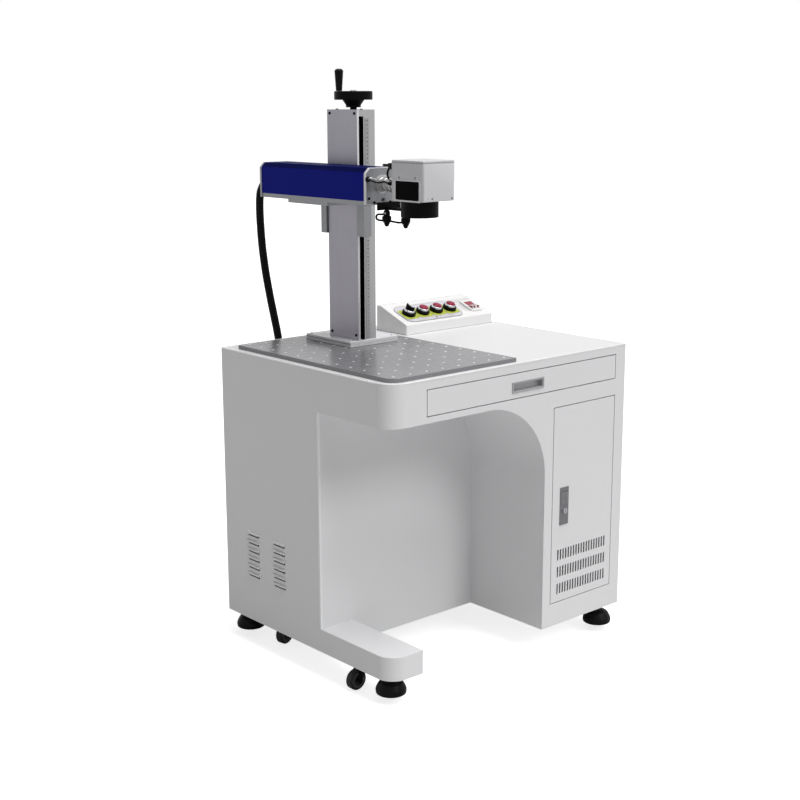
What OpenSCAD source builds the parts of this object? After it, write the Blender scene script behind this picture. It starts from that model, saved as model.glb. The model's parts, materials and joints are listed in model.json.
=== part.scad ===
// Laser marking machine on a wheeled kneehole cabinet.
// Everything is drawn from the cabinet's front left bottom corner, X right, Y back, Z up,
// and then moved so that the origin lies on the floor under the middle of the machine.

/* [Cabinet] */
// Width of the cabinet
cab_w = 800; // [780:10:960]
// Depth of the cabinet
cab_d = 650; // [640:10:760]
// Height of the cabinet body without its feet
cab_h = 700; // [690:10:800]
// Thickness of the sheet metal
sheet = 2; // [1.5:0.5:3]
// Radius of the rounded front left corner
corner_r = 45; // [30:1:60]
// Height of the cabinet's underside above the floor
floor_gap = 70; // [66:1:90]

/* [Kneehole] */
// Radius of the arch beside the pedestal
knee_r = 195; // [120:5:220]
// Height of the band over the kneehole
band_h = 102; // [96:1:130]
// Width of the pedestal
pedestal_w = 295; // [280:5:340]
// Depth of the kneehole
knee_d = 258; // [240:1:300]
// Width of the foot bar under the left side
foot_bar_w = 99; // [90:1:120]
// Height of the foot bar
foot_bar_h = 58; // [40:1:80]

/* [Drawer] */
// Distance of the drawer front from the cabinet's left side
drawer_x = 112; // [90:1:120]
// Width of the drawer front
drawer_w = 649; // [560:1:660]
// Height of the drawer front
drawer_h = 60; // [56:1:66]
// Distance of the drawer front below the table top
drawer_top = 25; // [20:1:28]
// Depth of the drawer box
drawer_d = 400; // [300:10:450]
// Gap round the drawer front and the door
panel_gap = 2; // [1:0.5:3]
// Width of the drawer's recessed pull
pull_w = 102; // [80:1:160]
// Height of the drawer's recessed pull
pull_h = 18.5; // [16:0.5:26]

/* [Door] */
// Distance of the door from the pedestal's kneehole side
door_inset = 30.5; // [24:0.5:40]
// Width of the door
door_w = 226.5; // [200:0.5:230]
// Distance of the door's upper edge below the table top
door_drop = 131; // [130:1:220]
// Height of the door's lower edge
door_z = 61; // [56:1:66]
// Depth of the door's folded edges
door_fold = 16; // [12:1:22]
// Columns of vent slots in the door
vent_columns = 19; // [8:1:20]
// Rows of vent slots in the door
vent_rows = 3; // [1:1:3]
// Length of a vent slot
vent_h = 29; // [16:1:34]
// Width of a vent slot
vent_w = 5; // [3:0.5:6]

/* [Work plate] */
// Width of the work plate
plate_w = 393; // [360:1:420]
// Depth of the work plate
plate_d = 586.5; // [570:0.5:600]
// Thickness of the work plate
plate_t = 10; // [6:1:16]
// Pitch of the fixture holes
hole_pitch = 50; // [50:1:52]
// Radius of a fixture hole
hole_r = 3; // [2:0.5:4]

/* [Column] */
// Width of the column across the arm
column_w = 56; // [54:1:70]
// Depth of the column along the arm
column_d = 115; // [100:1:130]
// Height of the column above its base
column_h = 563; // [480:1:640]
// Thickness of the column's cover plate
cover_t = 5; // [3:1:6]
// Width of the slots that the carriage runs in
slot_w = 15; // [12:1:16]
// Thickness of the cap on the column
cap_t = 16; // [10:1:20]
// Thickness of the column's base
base_t = 15; // [13:1:24]
// Radius of the lead screw
screw_r = 7; // [6:0.5:8]
// Radius of a guide rod
guide_r = 6; // [4:0.5:7]

/* [Handwheel] */
// Radius of the handwheel's rim
wheel_rim_r = 47; // [44:1:50]
// Height of the rim
wheel_rim_h = 21; // [16:1:24]
// Length of the turning grip
grip_l = 52; // [40:1:70]

/* [Arm] */
// Width of the arm
arm_w = 92; // [80:1:96]
// Height of the arm's cover
arm_h = 76; // [70:1:90]
// Length of the arm
arm_l = 402; // [390:1:420]
// Chamfer along the cover's upper edges
arm_chamfer = 10; // [6:1:14]
// Height of the arm's underside above the cabinet's underside
arm_z = 1072; // [1040:1:1080]

/* [Scan head] */
// Width of the scan head
head_w = 95.5; // [90:0.5:104]
// Depth of the scan head
head_d = 105; // [96:1:120]
// Height of the scan head
head_h = 90; // [84:1:110]
// Wall of the scan head
head_wall = 4; // [3:0.5:5]
// Radius of the lens barrel
lens_r = 43; // [38:1:46]
// Height of the lens barrel below the head
lens_h = 38; // [30:1:46]

/* [Console] */
// Width of the console
console_w = 320.5; // [300:0.5:330]
// Height of the console's front edge
console_front_h = 27; // [20:1:34]
// Height of the console's flat top
console_h = 68; // [60:1:80]
// Pitch of the switches
switch_pitch = 50; // [45:1:52]
// Radius of a button
button_r = 13; // [9:0.5:14]
// Travel of a button
button_travel = 5; // [3:0.5:6]

/* [Wheels and feet] */
// Radius of a caster wheel
caster_r = 25; // [20:1:26]
// Width of a caster wheel
caster_w = 20; // [16:1:22]
// Distance of the caster's axle behind its swivel
caster_trail = 22; // [16:1:24]
// Radius of a levelling foot
pad_r = 37; // [25:1:40]
// Height of a levelling foot above the floor while the machine is on its wheels
pad_lift = 20; // [5:1:22]

/* [Hidden] */

$fn = 48;
// Overrun of every cut
cut = 1;
// Radial clearance of every shaft in its bore
run = 0.05;
// Clearance under a piece that slides
slide_gap = 0.3;

white = [0.86, 0.86, 0.87];
silver = [0.74, 0.74, 0.75];
steel = [0.62, 0.63, 0.65];
blue = [0.06, 0.09, 0.42];
black = [0.05, 0.05, 0.055];
red = [0.75, 0.06, 0.06];

// Cabinet places
knee_x = cab_w - pedestal_w;
knee_z = cab_h - band_h;

// Louvres in the left side
louvre_w = 50;
louvre_h = 5;
louvre_round = 6;
louvre_rows = 6;
louvre_pitch = 21.6;
louvre_z = 125;
louvre_slot = 3;
louvre_drop = 6;
louvre_y = [397, 505];

// Drawer
drawer_z = cab_h - drawer_top - drawer_h;
drawer_front_t = 15;
drawer_wall = 1.5;
drawer_lift = 7;
drawer_box_h = 48;
runner_room = 18;
rail_t = 2;
rail_back = 12;
rail_lip = 2;
rail_lower = 12;
slide_t = 8;
slide_h = 24;
runner_l = 370;
pull_x = 276;
pull_lower = 17.5;
pull_flange = 4;
pull_proud = 1;
pull_depth = 12;
pull_wall = 1;

// Door
door_x = knee_x + door_inset;
door_h = cab_h - door_drop - door_z;
door_pin_r = 1.5;
door_pin_x = 5;
door_pin_y = 4;
door_pin_l = 9;
pivot_w = 24;
pivot_d = 16;
pivot_t = 3;
vent_side = 22;
vent_pitch_z = 45;
vent_z = 19.5;
latch_w = 30.5;
latch_h = 97;
latch_x = 27;
latch_z = 203;
latch_proud = 2;
latch_body_in = 3;
latch_depth = 13;
latch_gap = 0.5;
lever_w = 18;
lever_h = 38;
lever_t = 6;
lever_top = 10;
lever_pin_r = 1.5;
lever_pin_out = 2.5;
lock_r = 7;
lock_z = 36;
lock_proud = 6;
lock_l = 14;
lock_travel = 3;

// Cabinet fittings
source_size = [260, 330, 90];
source_side = 40;
source_port = 60;
computer_size = [175, 400, 280];
computer_side = 50;
computer_port = 110;
computer_front_gap = 90;
stand_off = 6;
hose_entry_x = 208;
hose_entry_z = 500;
gland_r = 16;
gland_t = 6;
inlet_size = [48, 28];
inlet_side = 100;
inlet_x = cab_w - inlet_side;
inlet_z = 90;
inlet_t = 3;
inlet_in = 14;
inlet_rim = 3;
inlet_pocket = [24, 17];
rear_vent_side = 240;
rear_vent_x = cab_w - rear_vent_side;
rear_vent_z = 200;
rear_vent_columns = 12;

// Work plate
plate_x = 18;
plate_y = 13.5;
plate_corner_r = 32;
hole_x = 43;
hole_y = 37;
hole_columns = 8;
hole_rows = 12;
hole_edge = 2;

// Column
base_x = 200;
base_y = 378;
base_w = 156;
base_d = 180;
base_step = 6;
base_groove = 1;
base_groove_in = 1.5;
column_x = 229;
column_y = 381;
channel_web = 6;
channel_wall = 5;
screw_x = 266;
journal_r = 5;
journal_l = 6;
guide_spread = 33;
guide_x = 263;
collar_r = 8.4;

// Handwheel
wheel_lift = 23;
wheel_hub_r = 17.4;
wheel_hub_top_r = 27;
wheel_hub_z = 5;
wheel_cone_z = 9;
wheel_rim_t = 9;
wheel_web_t = 6;
wheel_web_z = 2;
wheel_lower_edge = 1;
wheel_upper_edge = 2;
wheel_boss_r = 14;
grip_at = 38;
grip_turn = 165;
grip_spindle_r = 3;
grip_r = 10.8;
grip_neck_r = 7.5;
grip_blind = 5;
grip_round = 4;

// Carriage and arm
carriage_h = 79;
cheek_x = 224;
cheek_t = 21;
front_cheek_d = 27;
rear_cheek_d = 21;
cheek_gap = 2;
tongue_gap = 1;
block_end = 277;
block_d = 93;
support_t = 8;
support_y = 375;
support_d = 155;
ear_in = 22;
ear_gap = 0.5;
arm_x = 130;
arm_y = 236;
arm_rail_t = 10;
arm_wall = 4;
chamfer_half = 22.5;
end_front_t = 7;
end_back_t = 6;
end_w = 96;
end_drop = 2;
tube_r = 22.5;
tube_bore_r = 17;
tube_x = 175.7;
tube_z = 48;

// Scan head
head_y = 34;
head_z = 18;
head_lid = 5;
head_groove = 0.8;
window_inset = [16.5, 6];
window_size = [74, 38];
window_deep = 2;
neck_r = 35;
neck_gap = 0.1;
lens_y = 97;
lens_glass_r = 32;
lens_glass_z = 8;
lens_ring_h = 9;
lens_ring_in = 1;
motor_r = 9;
motor_gap = 18;
mirror_shift = 11;
mirror_w = 10;
mirror_t = 1.6;
mirror_h = 13;
mirror_shaft_r = 1.5;
mirror_shaft_l = 15;
beam_z = 30;

// Pointers
bracket_x = 161;
bracket_w = 70;
bracket_t = 4;
bracket_h = 22;
bar_drop = 12;
bar_w = 12;
bar_t = 6;
bar_x = 193;
lug_t = 3;
lug_drop = 14;
lug_hole_r = 2;
lug_d = 10;
pointer_y = [231, 164];
pointer_gap = 0.3;
pointer_l = 24;
pointer_shoulder = 7;
pointer_flange_r = 13;
pointer_tip_r = 5;
pointer_fork_w = 12;
pointer_fork_d = 9;
pointer_neck = 5;
pointer_pivot = 8;

// Console
console_x = 464.5;
console_y = 467;
console_ridge = 105.84;
console_depth = 122;
console_wall = 3;
slope = atan((console_h - console_front_h) / console_ridge);
panel_x = 18.5;
panel_w = 207;
panel_s = 9;
panel_h = 84;
panel_t = 2;
panel_r = 26;
switch_s = 48;
first_switch = 46.5;
legend_w = 42;
legend_t = 1;
legend_r = 7;
switch_base_r = 19;
switch_base_h = 7;
switch_ring_r = 16;
switch_ring_h = 5;
switch_barrel_r = 10.9;
switch_barrel_l = 24;
switch_hole_r = 11.2;
button_h = 15;
button_lift = panel_t + legend_t + button_travel + slide_gap;
button_round = 2.5;
stem_r = 4;
stem_l = 22;
knob_ridge_w = 8;
knob_ridge_h = 7;
knob_disc_h = 10;
rocker_x = 281.5;
rocker_frame = [42, 54];
rocker_frame_h = 4;
rocker_window = [28, 40];
rocker_side_gap = 0.5;
rocker_tip = 20;
rocker_lift = 3;
rocker_pin_r = 1.2;
rocker_pin_out = 2;
rocker_deep = 8;
rocker_pivot = 2;

// Feet and casters
pad_h = 35;
pad_outline = [
    [0.94, 0], [0.98, 0.05], [1, 0.24], [0.98, 0.38], [0.93, 0.5], [0.85, 0.66], [0.77, 0.8],
    [0.6, 0.91], [0.38, 1]
];
pad_stem_r = 6;
pad_nut_r = 12;
pad_nut_h = 8;
foot_side = 47;
foot_front_left = 54;
foot_front_right = 30;
foot_rear = 31;
caster_side = 48;
caster_front = 158;
caster_rear = 152;
caster_plate = 60;
caster_plate_t = 3;
kingpin_r = 5;
kingpin_l = 14;
crown_r = 17;
crown_t = 8;
crown_gap = 1;
fork_t = 2.5;
fork_gap = 1;
fork_half = 13;
axle_r = 4;
axle_head_r = 6.5;
axle_head_t = 3;
tread_round = 3;
caster_turns = [180, 205, 10, 160];

// Conduit
hose_r = 10.5;
hose_sides = 12;
hose_route = [
    [176, 650, 1112], [176, 660, 1112], [176, 672, 1110.5], [175.5, 684, 1106], [175, 694, 1098],
    [174, 701.5, 1088], [173, 706.5, 1076], [172, 708, 1063], [171, 708, 1045], [170, 706.5, 1020],
    [169.5, 704, 990], [169.5, 701.5, 960], [170.5, 699, 930], [173, 697, 900], [176, 695, 870],
    [180, 691.5, 835], [184.5, 688, 800], [189, 684.5, 768], [193.5, 681.5, 738], [198, 680, 712],
    [202, 680.5, 690], [205, 683, 668], [206.5, 688, 645], [207.5, 695, 620], [208, 702, 595],
    [208, 707.5, 570], [208, 710, 546], [208, 708.5, 534], [208, 704, 523], [208, 696.5, 513.5],
    [208, 687, 506], [208, 676, 501.5], [208, 664, 500], [208, 656, 500]
];

// Leads between the arm and the head
lead_r = 1.5;
lead_sides = 6;
grommet = [133, 229, 1133];
grommet_r = 4.5;
grommet_t = 3;
plug_size = [13, 7, 15];
plug_x = 128;
plug_z = 1158;
lead_routes = [
    [[133, 226, 1134], [134, 219, 1133], [138, 212, 1129], [144, 205, 1127], [148, 198, 1128],
     [150, 190, 1132], [149, 180, 1138], [146, 168, 1146], [141, 158, 1153], [137, 151, 1158],
     [135, 142, 1162]],
    [[131.5, 226, 1131], [132, 218, 1127], [136, 209, 1122], [143, 200, 1120], [148, 191, 1124],
     [149.5, 182, 1132], [148, 172, 1142], [145, 162, 1151], [141, 154, 1158], [138, 149, 1163],
     [136, 142, 1167]]
];

// Block between two corners
module block(lo, hi) translate(lo) cube(hi - lo);

// Extrusion along X of an outline drawn in Y and Z
module along_x(x0, len) translate([x0, 0, 0]) rotate([90, 0, 90]) linear_extrude(len) children();

// Extrusion along Y of an outline drawn in X and Z
module along_y(y0, len) translate([0, y0 + len, 0]) rotate([90, 0, 0]) linear_extrude(len) children();

// Cylinders along the three axes, from a start point
module rod_x(p, len, r) translate(p) rotate([0, 90, 0]) cylinder(h = len, r = r);
module rod_y(p, len, r) translate(p) rotate([-90, 0, 0]) cylinder(h = len, r = r);
module rod_z(p, len, r) translate(p) cylinder(h = len, r = r);

// Rectangle with its near left corner rounded
module corner_plan(x0, y0, x1, y1, r) {
    translate([x0 + r, y0]) square([x1 - x0 - r, y1 - y0]);
    translate([x0, y0 + r]) square([x1 - x0, y1 - y0 - r]);
    translate([x0 + r, y0 + r]) circle(r);
}

// Rectangle with four rounded corners, centred
module round_plate(w, h, r) {
    square([w, h - 2 * r], center = true);
    square([w - 2 * r, h], center = true);
    for (x = [r - w / 2, w / 2 - r], y = [r - h / 2, h / 2 - r]) translate([x, y]) circle(r);
}

// Upright slot, centred
module slot_2d(w, h) {
    square([w, h - w], center = true);
    for (y = [w - h, h - w]) translate([0, y / 2]) circle(d = w, $fn = 16);
}

// Outline of the kneehole seen from the front, grown by g and started at z0
module knee_outline(x0, z0, g) {
    translate([x0, z0]) square([knee_x + g - x0, knee_z - knee_r - z0]);
    translate([x0, z0]) square([knee_x - knee_r - x0, knee_z + g - z0]);
    translate([knee_x - knee_r, knee_z - knee_r]) circle(knee_r + g, $fn = 96);
}

module louvre_2d(r) {
    intersection() {
        translate([louvre_round - louvre_h, 0]) circle(r);
        translate([-louvre_h, 0]) square([louvre_h + sheet / 2, louvre_round]);
    }
}

module louvre() {
    along_y(0, louvre_w) difference() {
        louvre_2d(louvre_round);
        louvre_2d(louvre_round - sheet);
    }
    for (y = [0, louvre_w - sheet]) along_y(y, sheet) louvre_2d(louvre_round);
}

module left_side() color(white) difference() {
    union() {
        along_x(0, sheet) difference() {
            translate([corner_r, 0]) square([cab_d - sheet - corner_r, cab_h]);
            translate([corner_r - cut, foot_bar_h])
                square([knee_d - corner_r + cut, knee_z - foot_bar_h]);
        }
        for (y = louvre_y, i = [0 : louvre_rows - 1])
            translate([0, y, louvre_z + i * louvre_pitch]) louvre();
    }
    for (y = louvre_y, i = [0 : louvre_rows - 1])
        translate([0, y + sheet, louvre_z + i * louvre_pitch - louvre_drop])
            cube([sheet + cut, louvre_w - 2 * sheet, louvre_slot + louvre_drop]);
}

module front_panel() color(white) {
    difference() {
        linear_extrude(cab_h) difference() {
            intersection() {
                corner_plan(0, 0, cab_w, cab_d, corner_r);
                square([cab_w, corner_r]);
            }
            corner_plan(sheet, sheet, cab_w + cut, cab_d, corner_r - sheet);
        }
        along_y(-cut, corner_r + 2 * cut) knee_outline(-cut, -cut, 0);
        translate([drawer_x - panel_gap, -cut, drawer_z - panel_gap])
            cube([drawer_w + 2 * panel_gap, sheet + 2 * cut, drawer_h + 2 * panel_gap]);
        translate([door_x - panel_gap, -cut, door_z - panel_gap])
            cube([door_w + 2 * panel_gap, sheet + 2 * cut, door_h + 2 * panel_gap]);
    }
    door_pivot(door_z - panel_gap - pivot_t, 0);
    door_pivot(door_z + door_h + panel_gap, pivot_t - door_pin_l);
}

// Welded bracket with the pin that the door swings on
module door_pivot(z, pin_from) {
    pin = [door_x + door_w - door_pin_x, door_pin_y];
    translate([pin[0] - pivot_w / 2, sheet, z]) cube([pivot_w, pivot_d, pivot_t]);
    rod_z([pin[0], pin[1], z + pin_from], door_pin_l, door_pin_r);
}

module kneehole_liner() color(white) {
    intersection() {
        along_y(sheet, knee_d - sheet) difference() {
            knee_outline(sheet, 0, sheet);
            knee_outline(sheet - cut, -cut, 0);
        }
        linear_extrude(cab_h) corner_plan(sheet, sheet, cab_w, cab_d, corner_r - sheet);
    }
    along_y(knee_d, sheet) knee_outline(sheet, 0, sheet);
}

module right_side() color(white)
    block([cab_w - sheet, sheet, 0], [cab_w, cab_d - sheet, cab_h]);

module back_panel() color(white) difference() {
    block([0, cab_d - sheet, 0], [cab_w, cab_d, cab_h]);
    rod_y([hose_entry_x, cab_d - sheet - cut, hose_entry_z], sheet + 2 * cut, gland_r - gland_t);
    translate([inlet_x, cab_d, inlet_z])
        cube([inlet_size[0] - 2 * inlet_rim, 2 * (sheet + cut), inlet_size[1] - 2 * inlet_rim],
             center = true);
    for (i = [0 : rear_vent_columns - 1])
        translate([rear_vent_x + i * 2 * vent_w, 0, rear_vent_z])
            along_y(cab_d - sheet - cut, sheet + 2 * cut) slot_2d(vent_w, vent_h);
}

module base_frame() color(white) {
    linear_extrude(sheet) polygon([
        [sheet, knee_d + sheet], [knee_x + sheet, knee_d + sheet], [knee_x + sheet, sheet],
        [cab_w - sheet, sheet], [cab_w - sheet, cab_d - sheet], [sheet, cab_d - sheet]
    ]);
    difference() {
        linear_extrude(foot_bar_h) corner_plan(0, 0, foot_bar_w, knee_d, corner_r);
        translate([0, 0, sheet]) linear_extrude(foot_bar_h - 2 * sheet)
            corner_plan(sheet, sheet, foot_bar_w - sheet, knee_d + cut, corner_r - sheet);
        translate([-cut, corner_r, -cut]) cube([sheet + cut, knee_d, foot_bar_h + 2 * cut]);
    }
    for (c = caster_places) translate(c) {
        translate([-caster_plate / 2, -caster_plate / 2, -caster_plate_t])
            cube([caster_plate, caster_plate, caster_plate_t]);
        rod_z([0, 0, -caster_plate_t - kingpin_l], kingpin_l, kingpin_r);
    }
}

module table_top() color(white) translate([0, 0, cab_h - sheet]) linear_extrude(sheet)
    corner_plan(sheet, sheet, cab_w - sheet, cab_d - sheet, corner_r - sheet);

// True where a fixture hole would lie under the column's base
function under_base(x, y) =
    x > base_x - hole_edge && x < base_x + base_w + hole_edge &&
    y > base_y - hole_edge && y < base_y + base_d + hole_edge;

module work_plate() color(silver) translate([0, 0, cab_h]) difference() {
    linear_extrude(plate_t)
        corner_plan(plate_x, plate_y, plate_x + plate_w, plate_y + plate_d, plate_corner_r);
    for (i = [0 : hole_columns - 1], j = [0 : hole_rows - 1]) {
        x = hole_x + i * hole_pitch;
        y = hole_y + j * hole_pitch;
        if (!under_base(x, y)) rod_z([x, y, -cut], plate_t + 2 * cut, hole_r, $fn = 16);
    }
}

// Drawer, its steel slides and the rails that hang under the table top
box_x = drawer_x + runner_room;
box_w = drawer_w - 2 * runner_room;
box_z = drawer_z + drawer_lift;
slide_z = box_z + rail_lower;

module drawer_box() color(silver) {
    difference() {
        block([box_x, drawer_front_t, box_z],
              [box_x + box_w, drawer_front_t + drawer_d, box_z + drawer_box_h]);
        block([box_x + drawer_wall, drawer_front_t + drawer_wall, box_z + drawer_wall],
              [box_x + box_w - drawer_wall, drawer_front_t + drawer_d - drawer_wall,
               box_z + drawer_box_h + cut]);
    }
    for (x = [box_x - slide_t, box_x + box_w])
        block([x, drawer_front_t + sheet, slide_z],
              [x + slide_t, drawer_front_t + runner_l, slide_z + slide_h]);
}

module drawer_rail() along_y(drawer_front_t + 2 * sheet, runner_l) {
    translate([-rail_back, -slide_gap - rail_lip])
        square([rail_t, cab_h - sheet - slide_z + slide_gap + rail_lip]);
    for (z = [-slide_gap - rail_lip, slide_h + slide_gap])
        translate([-rail_back, z]) square([rail_back - 2 * slide_gap, rail_lip]);
}

module drawer_runners() color(steel) {
    translate([box_x, 0, slide_z]) drawer_rail();
    translate([box_x + box_w, 0, slide_z]) mirror([1, 0, 0]) drawer_rail();
}

module drawer_front() color(white) difference() {
    block([drawer_x, 0, drawer_z], [drawer_x + drawer_w, drawer_front_t, drawer_z + drawer_h]);
    block([drawer_x + sheet, sheet, drawer_z + sheet],
          [drawer_x + drawer_w - sheet, drawer_front_t - sheet, drawer_z + drawer_h - sheet]);
    translate([drawer_x + pull_x, -cut, drawer_z + pull_lower])
        cube([pull_w, sheet + 2 * cut, pull_h]);
}

module drawer_pull() color(steel) translate([drawer_x + pull_x, 0, drawer_z + pull_lower]) difference() {
    union() {
        block([-pull_flange, -pull_proud, -pull_flange], [pull_w + pull_flange, 0, pull_h + pull_flange]);
        cube([pull_w, pull_depth, pull_h]);
    }
    block([pull_wall, -pull_proud - cut, pull_wall],
          [pull_w - pull_wall, pull_depth - pull_wall, pull_h - pull_wall]);
}

module door_panel() color(white) translate([door_x, 0, door_z]) difference() {
    cube([door_w, door_fold, door_h]);
    block([sheet, sheet, sheet], [door_w - sheet, door_fold + cut, door_h - sheet]);
    rod_z([door_w - door_pin_x, door_pin_y, -cut], door_h + 2 * cut, door_pin_r + run);
    block([latch_x + latch_body_in - latch_gap, -cut, latch_z + latch_body_in - latch_gap],
          [latch_x + latch_w - latch_body_in + latch_gap, sheet + cut,
           latch_z + latch_h - latch_body_in + latch_gap]);
    for (i = [0 : vent_columns - 1], j = [0 : vent_rows - 1])
        translate([vent_side + vent_w / 2 + i * (door_w - 2 * vent_side - vent_w) / (vent_columns - 1),
                   0, vent_z + vent_h / 2 + j * vent_pitch_z])
            along_y(-cut, sheet + 2 * cut) slot_2d(vent_w, vent_h);
}

// Latch dish, its lifting lever and its push button, drawn from the dish's lower left corner
lever_x = (latch_w - lever_w) / 2;
lever_z = latch_h - lever_top - lever_h;
lever_pin_z = latch_h - lever_top - lever_t / 2;

module at_latch() translate([door_x + latch_x, 0, door_z + latch_z]) children();

module door_lock() color(steel) at_latch() difference() {
    union() {
        block([0, -latch_proud, 0], [latch_w, 0, latch_h]);
        block([latch_body_in, 0, latch_body_in],
              [latch_w - latch_body_in, latch_depth, latch_h - latch_body_in]);
    }
    block([lever_x - latch_gap, -latch_proud - cut, lever_z - latch_gap],
          [lever_x + lever_w + latch_gap, latch_depth - sheet, latch_h - lever_top + latch_gap]);
    rod_x([lever_x - lever_pin_out - latch_gap, lever_t / 2 - latch_proud, lever_pin_z],
          lever_w + 2 * (lever_pin_out + latch_gap), lever_pin_r + run);
    rod_y([latch_w / 2, -latch_proud - cut, lock_z], lock_l + lock_travel + cut, lock_r + run);
}

module door_handle() color(steel) at_latch() {
    rod_x([lever_x - lever_pin_out, lever_t / 2 - latch_proud, lever_pin_z],
          lever_w + 2 * lever_pin_out, lever_pin_r);
    block([lever_x, -latch_proud, lever_z], [lever_x + lever_w, lever_t - latch_proud, lever_pin_z]);
    rod_x([lever_x, lever_t / 2 - latch_proud, lever_pin_z], lever_w, lever_t / 2);
}

module lock_button() color(silver) at_latch()
    rod_y([latch_w / 2, -lock_proud, lock_z], lock_l, lock_r);

// Four feet under a box of the given size
module stand_offs(size) {
    for (x = [stand_off, size[0] - 3 * stand_off], y = [stand_off, size[1] - 3 * stand_off])
        translate([x, y, 0]) cube([2 * stand_off, 2 * stand_off, stand_off]);
}

// Sheet metal case of the given size with a square port in its front
module sheet_case(size, port) difference() {
    cube(size);
    translate([sheet, sheet, sheet]) cube(size - 2 * [sheet, sheet, sheet]);
    translate([(size[0] - port) / 2, -cut, (size[2] - port) / 2]) cube([port, sheet + 2 * cut, port]);
}

module laser_source() color(black) {
    translate([source_side, knee_d + source_side, sheet + stand_off]) {
        sheet_case(source_size, source_port);
        for (x = [stand_off : 2 * stand_off : source_size[0] - 2 * stand_off])
            translate([x, 0, source_size[2]]) cube([sheet, source_size[1], stand_off]);
    }
    translate([source_side, knee_d + source_side, sheet]) stand_offs(source_size);
}

module control_computer() color(steel) {
    translate([knee_x + computer_side, computer_front_gap, sheet + stand_off])
        sheet_case(computer_size, computer_port);
    translate([knee_x + computer_side, computer_front_gap, sheet]) stand_offs(computer_size);
}

// Nut where the conduit enters the cabinet, and the power inlet
module rear_connectors() color(black) {
    rod_y([hose_entry_x, cab_d, hose_entry_z], gland_t, gland_r);
    translate([inlet_x, cab_d, inlet_z]) difference() {
        union() {
            block([-inlet_size[0] / 2, 0, -inlet_size[1] / 2],
                  [inlet_size[0] / 2, inlet_t, inlet_size[1] / 2]);
            block([inlet_rim - inlet_size[0] / 2, -inlet_in, inlet_rim - inlet_size[1] / 2],
                  [inlet_size[0] / 2 - inlet_rim, 0, inlet_size[1] / 2 - inlet_rim]);
        }
        block([-inlet_pocket[0] / 2, -inlet_in + inlet_t, -inlet_pocket[1] / 2],
              [inlet_pocket[0] / 2, inlet_t + cut, inlet_pocket[1] / 2]);
    }
}

// Places on the console's sloping face: x from its left end, s up the slope
module on_slope(x, s) translate([console_x + x, console_y, cab_h + console_front_h])
    rotate([slope, 0, 0]) translate([0, s, 0]) children();

switch_xs = [for (i = [0 : 3]) first_switch + i * switch_pitch];

// Side view of the console, in by w
module console_side(w) {
    translate([console_y, cab_h]) polygon([
        [w, 0], [w, console_front_h - w * tan(slope)],
        [console_ridge + w * tan(slope / 2), console_h - w],
        [console_depth - w, console_h - w], [console_depth - w, 0]
    ]);
}

module console_housing() color(white) {
    difference() {
        along_x(console_x, console_w) console_side(0);
        translate([0, 0, -cut]) along_x(console_x + console_wall, console_w - 2 * console_wall)
            console_side(console_wall);
        for (x = switch_xs) on_slope(x, switch_s)
            rod_z([0, 0, -2 * console_wall], 3 * console_wall, switch_hole_r);
        on_slope(rocker_x, switch_s)
            cube([rocker_window[0], rocker_window[1], 4 * console_wall], center = true);
    }
    on_slope(rocker_x, switch_s) difference() {
        linear_extrude(rocker_frame_h) round_plate(rocker_frame[0], rocker_frame[1], rocker_frame_h);
        translate([0, 0, rocker_frame_h / 2])
            cube([rocker_window[0], rocker_window[1], 2 * rocker_frame_h], center = true);
        rod_x([-rocker_window[0] / 2 - rocker_pin_out - run, 0, rocker_pivot],
              rocker_window[0] + 2 * (rocker_pin_out + run), rocker_pin_r + run);
    }
}

panel_mid = [panel_x + panel_w / 2, panel_s + panel_h / 2];

module control_plate() color(steel) on_slope(panel_mid[0], panel_mid[1]) difference() {
    union() {
        linear_extrude(panel_t) round_plate(panel_w, panel_h, panel_r);
        for (x = switch_xs) translate([x - panel_mid[0], switch_s - panel_mid[1], panel_t])
            linear_extrude(legend_t) round_plate(legend_w, legend_w, legend_r);
    }
    for (x = switch_xs)
        rod_z([x - panel_mid[0], switch_s - panel_mid[1], -cut], seat + 2 * cut, switch_hole_r);
}

// Height of a switch's seat over the slope
seat = panel_t + legend_t;

module switch_body() difference() {
    union() {
        rod_z([0, 0, seat - switch_barrel_l], switch_barrel_l, switch_barrel_r);
        rod_z([0, 0, seat], switch_base_h, switch_base_r);
        rod_z([0, 0, seat + switch_base_h], switch_ring_h, switch_ring_r);
    }
    rod_z([0, 0, seat], switch_base_h + switch_ring_h + cut, button_r + run);
    rod_z([0, 0, seat - switch_barrel_l - cut], switch_barrel_l + 2 * cut, stem_r + run);
}

module switch_bodies() color(black) for (x = switch_xs) on_slope(x, switch_s) switch_body();

// Cap with a rounded rim on a stem
module cap_on_stem(h) {
    rotate_extrude() {
        square([button_r, h - button_round]);
        square([button_r - button_round, h]);
        translate([button_r - button_round, h - button_round]) circle(button_round, $fn = 24);
    }
    rod_z([0, 0, -stem_l], stem_l, stem_r);
}

module push_button(i) color(red) on_slope(switch_xs[i], switch_s)
    translate([0, 0, button_lift]) cap_on_stem(button_h);

module button_left() push_button(1);
module button_middle() push_button(2);
module button_right() push_button(3);

module selector_knob() color(black) on_slope(switch_xs[0], switch_s) translate([0, 0, button_lift]) {
    cap_on_stem(knob_disc_h);
    translate([-knob_ridge_w / 2, -button_r + button_round, knob_disc_h - cut])
        cube([knob_ridge_w, 2 * (button_r - button_round), knob_ridge_h + cut]);
}

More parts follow.
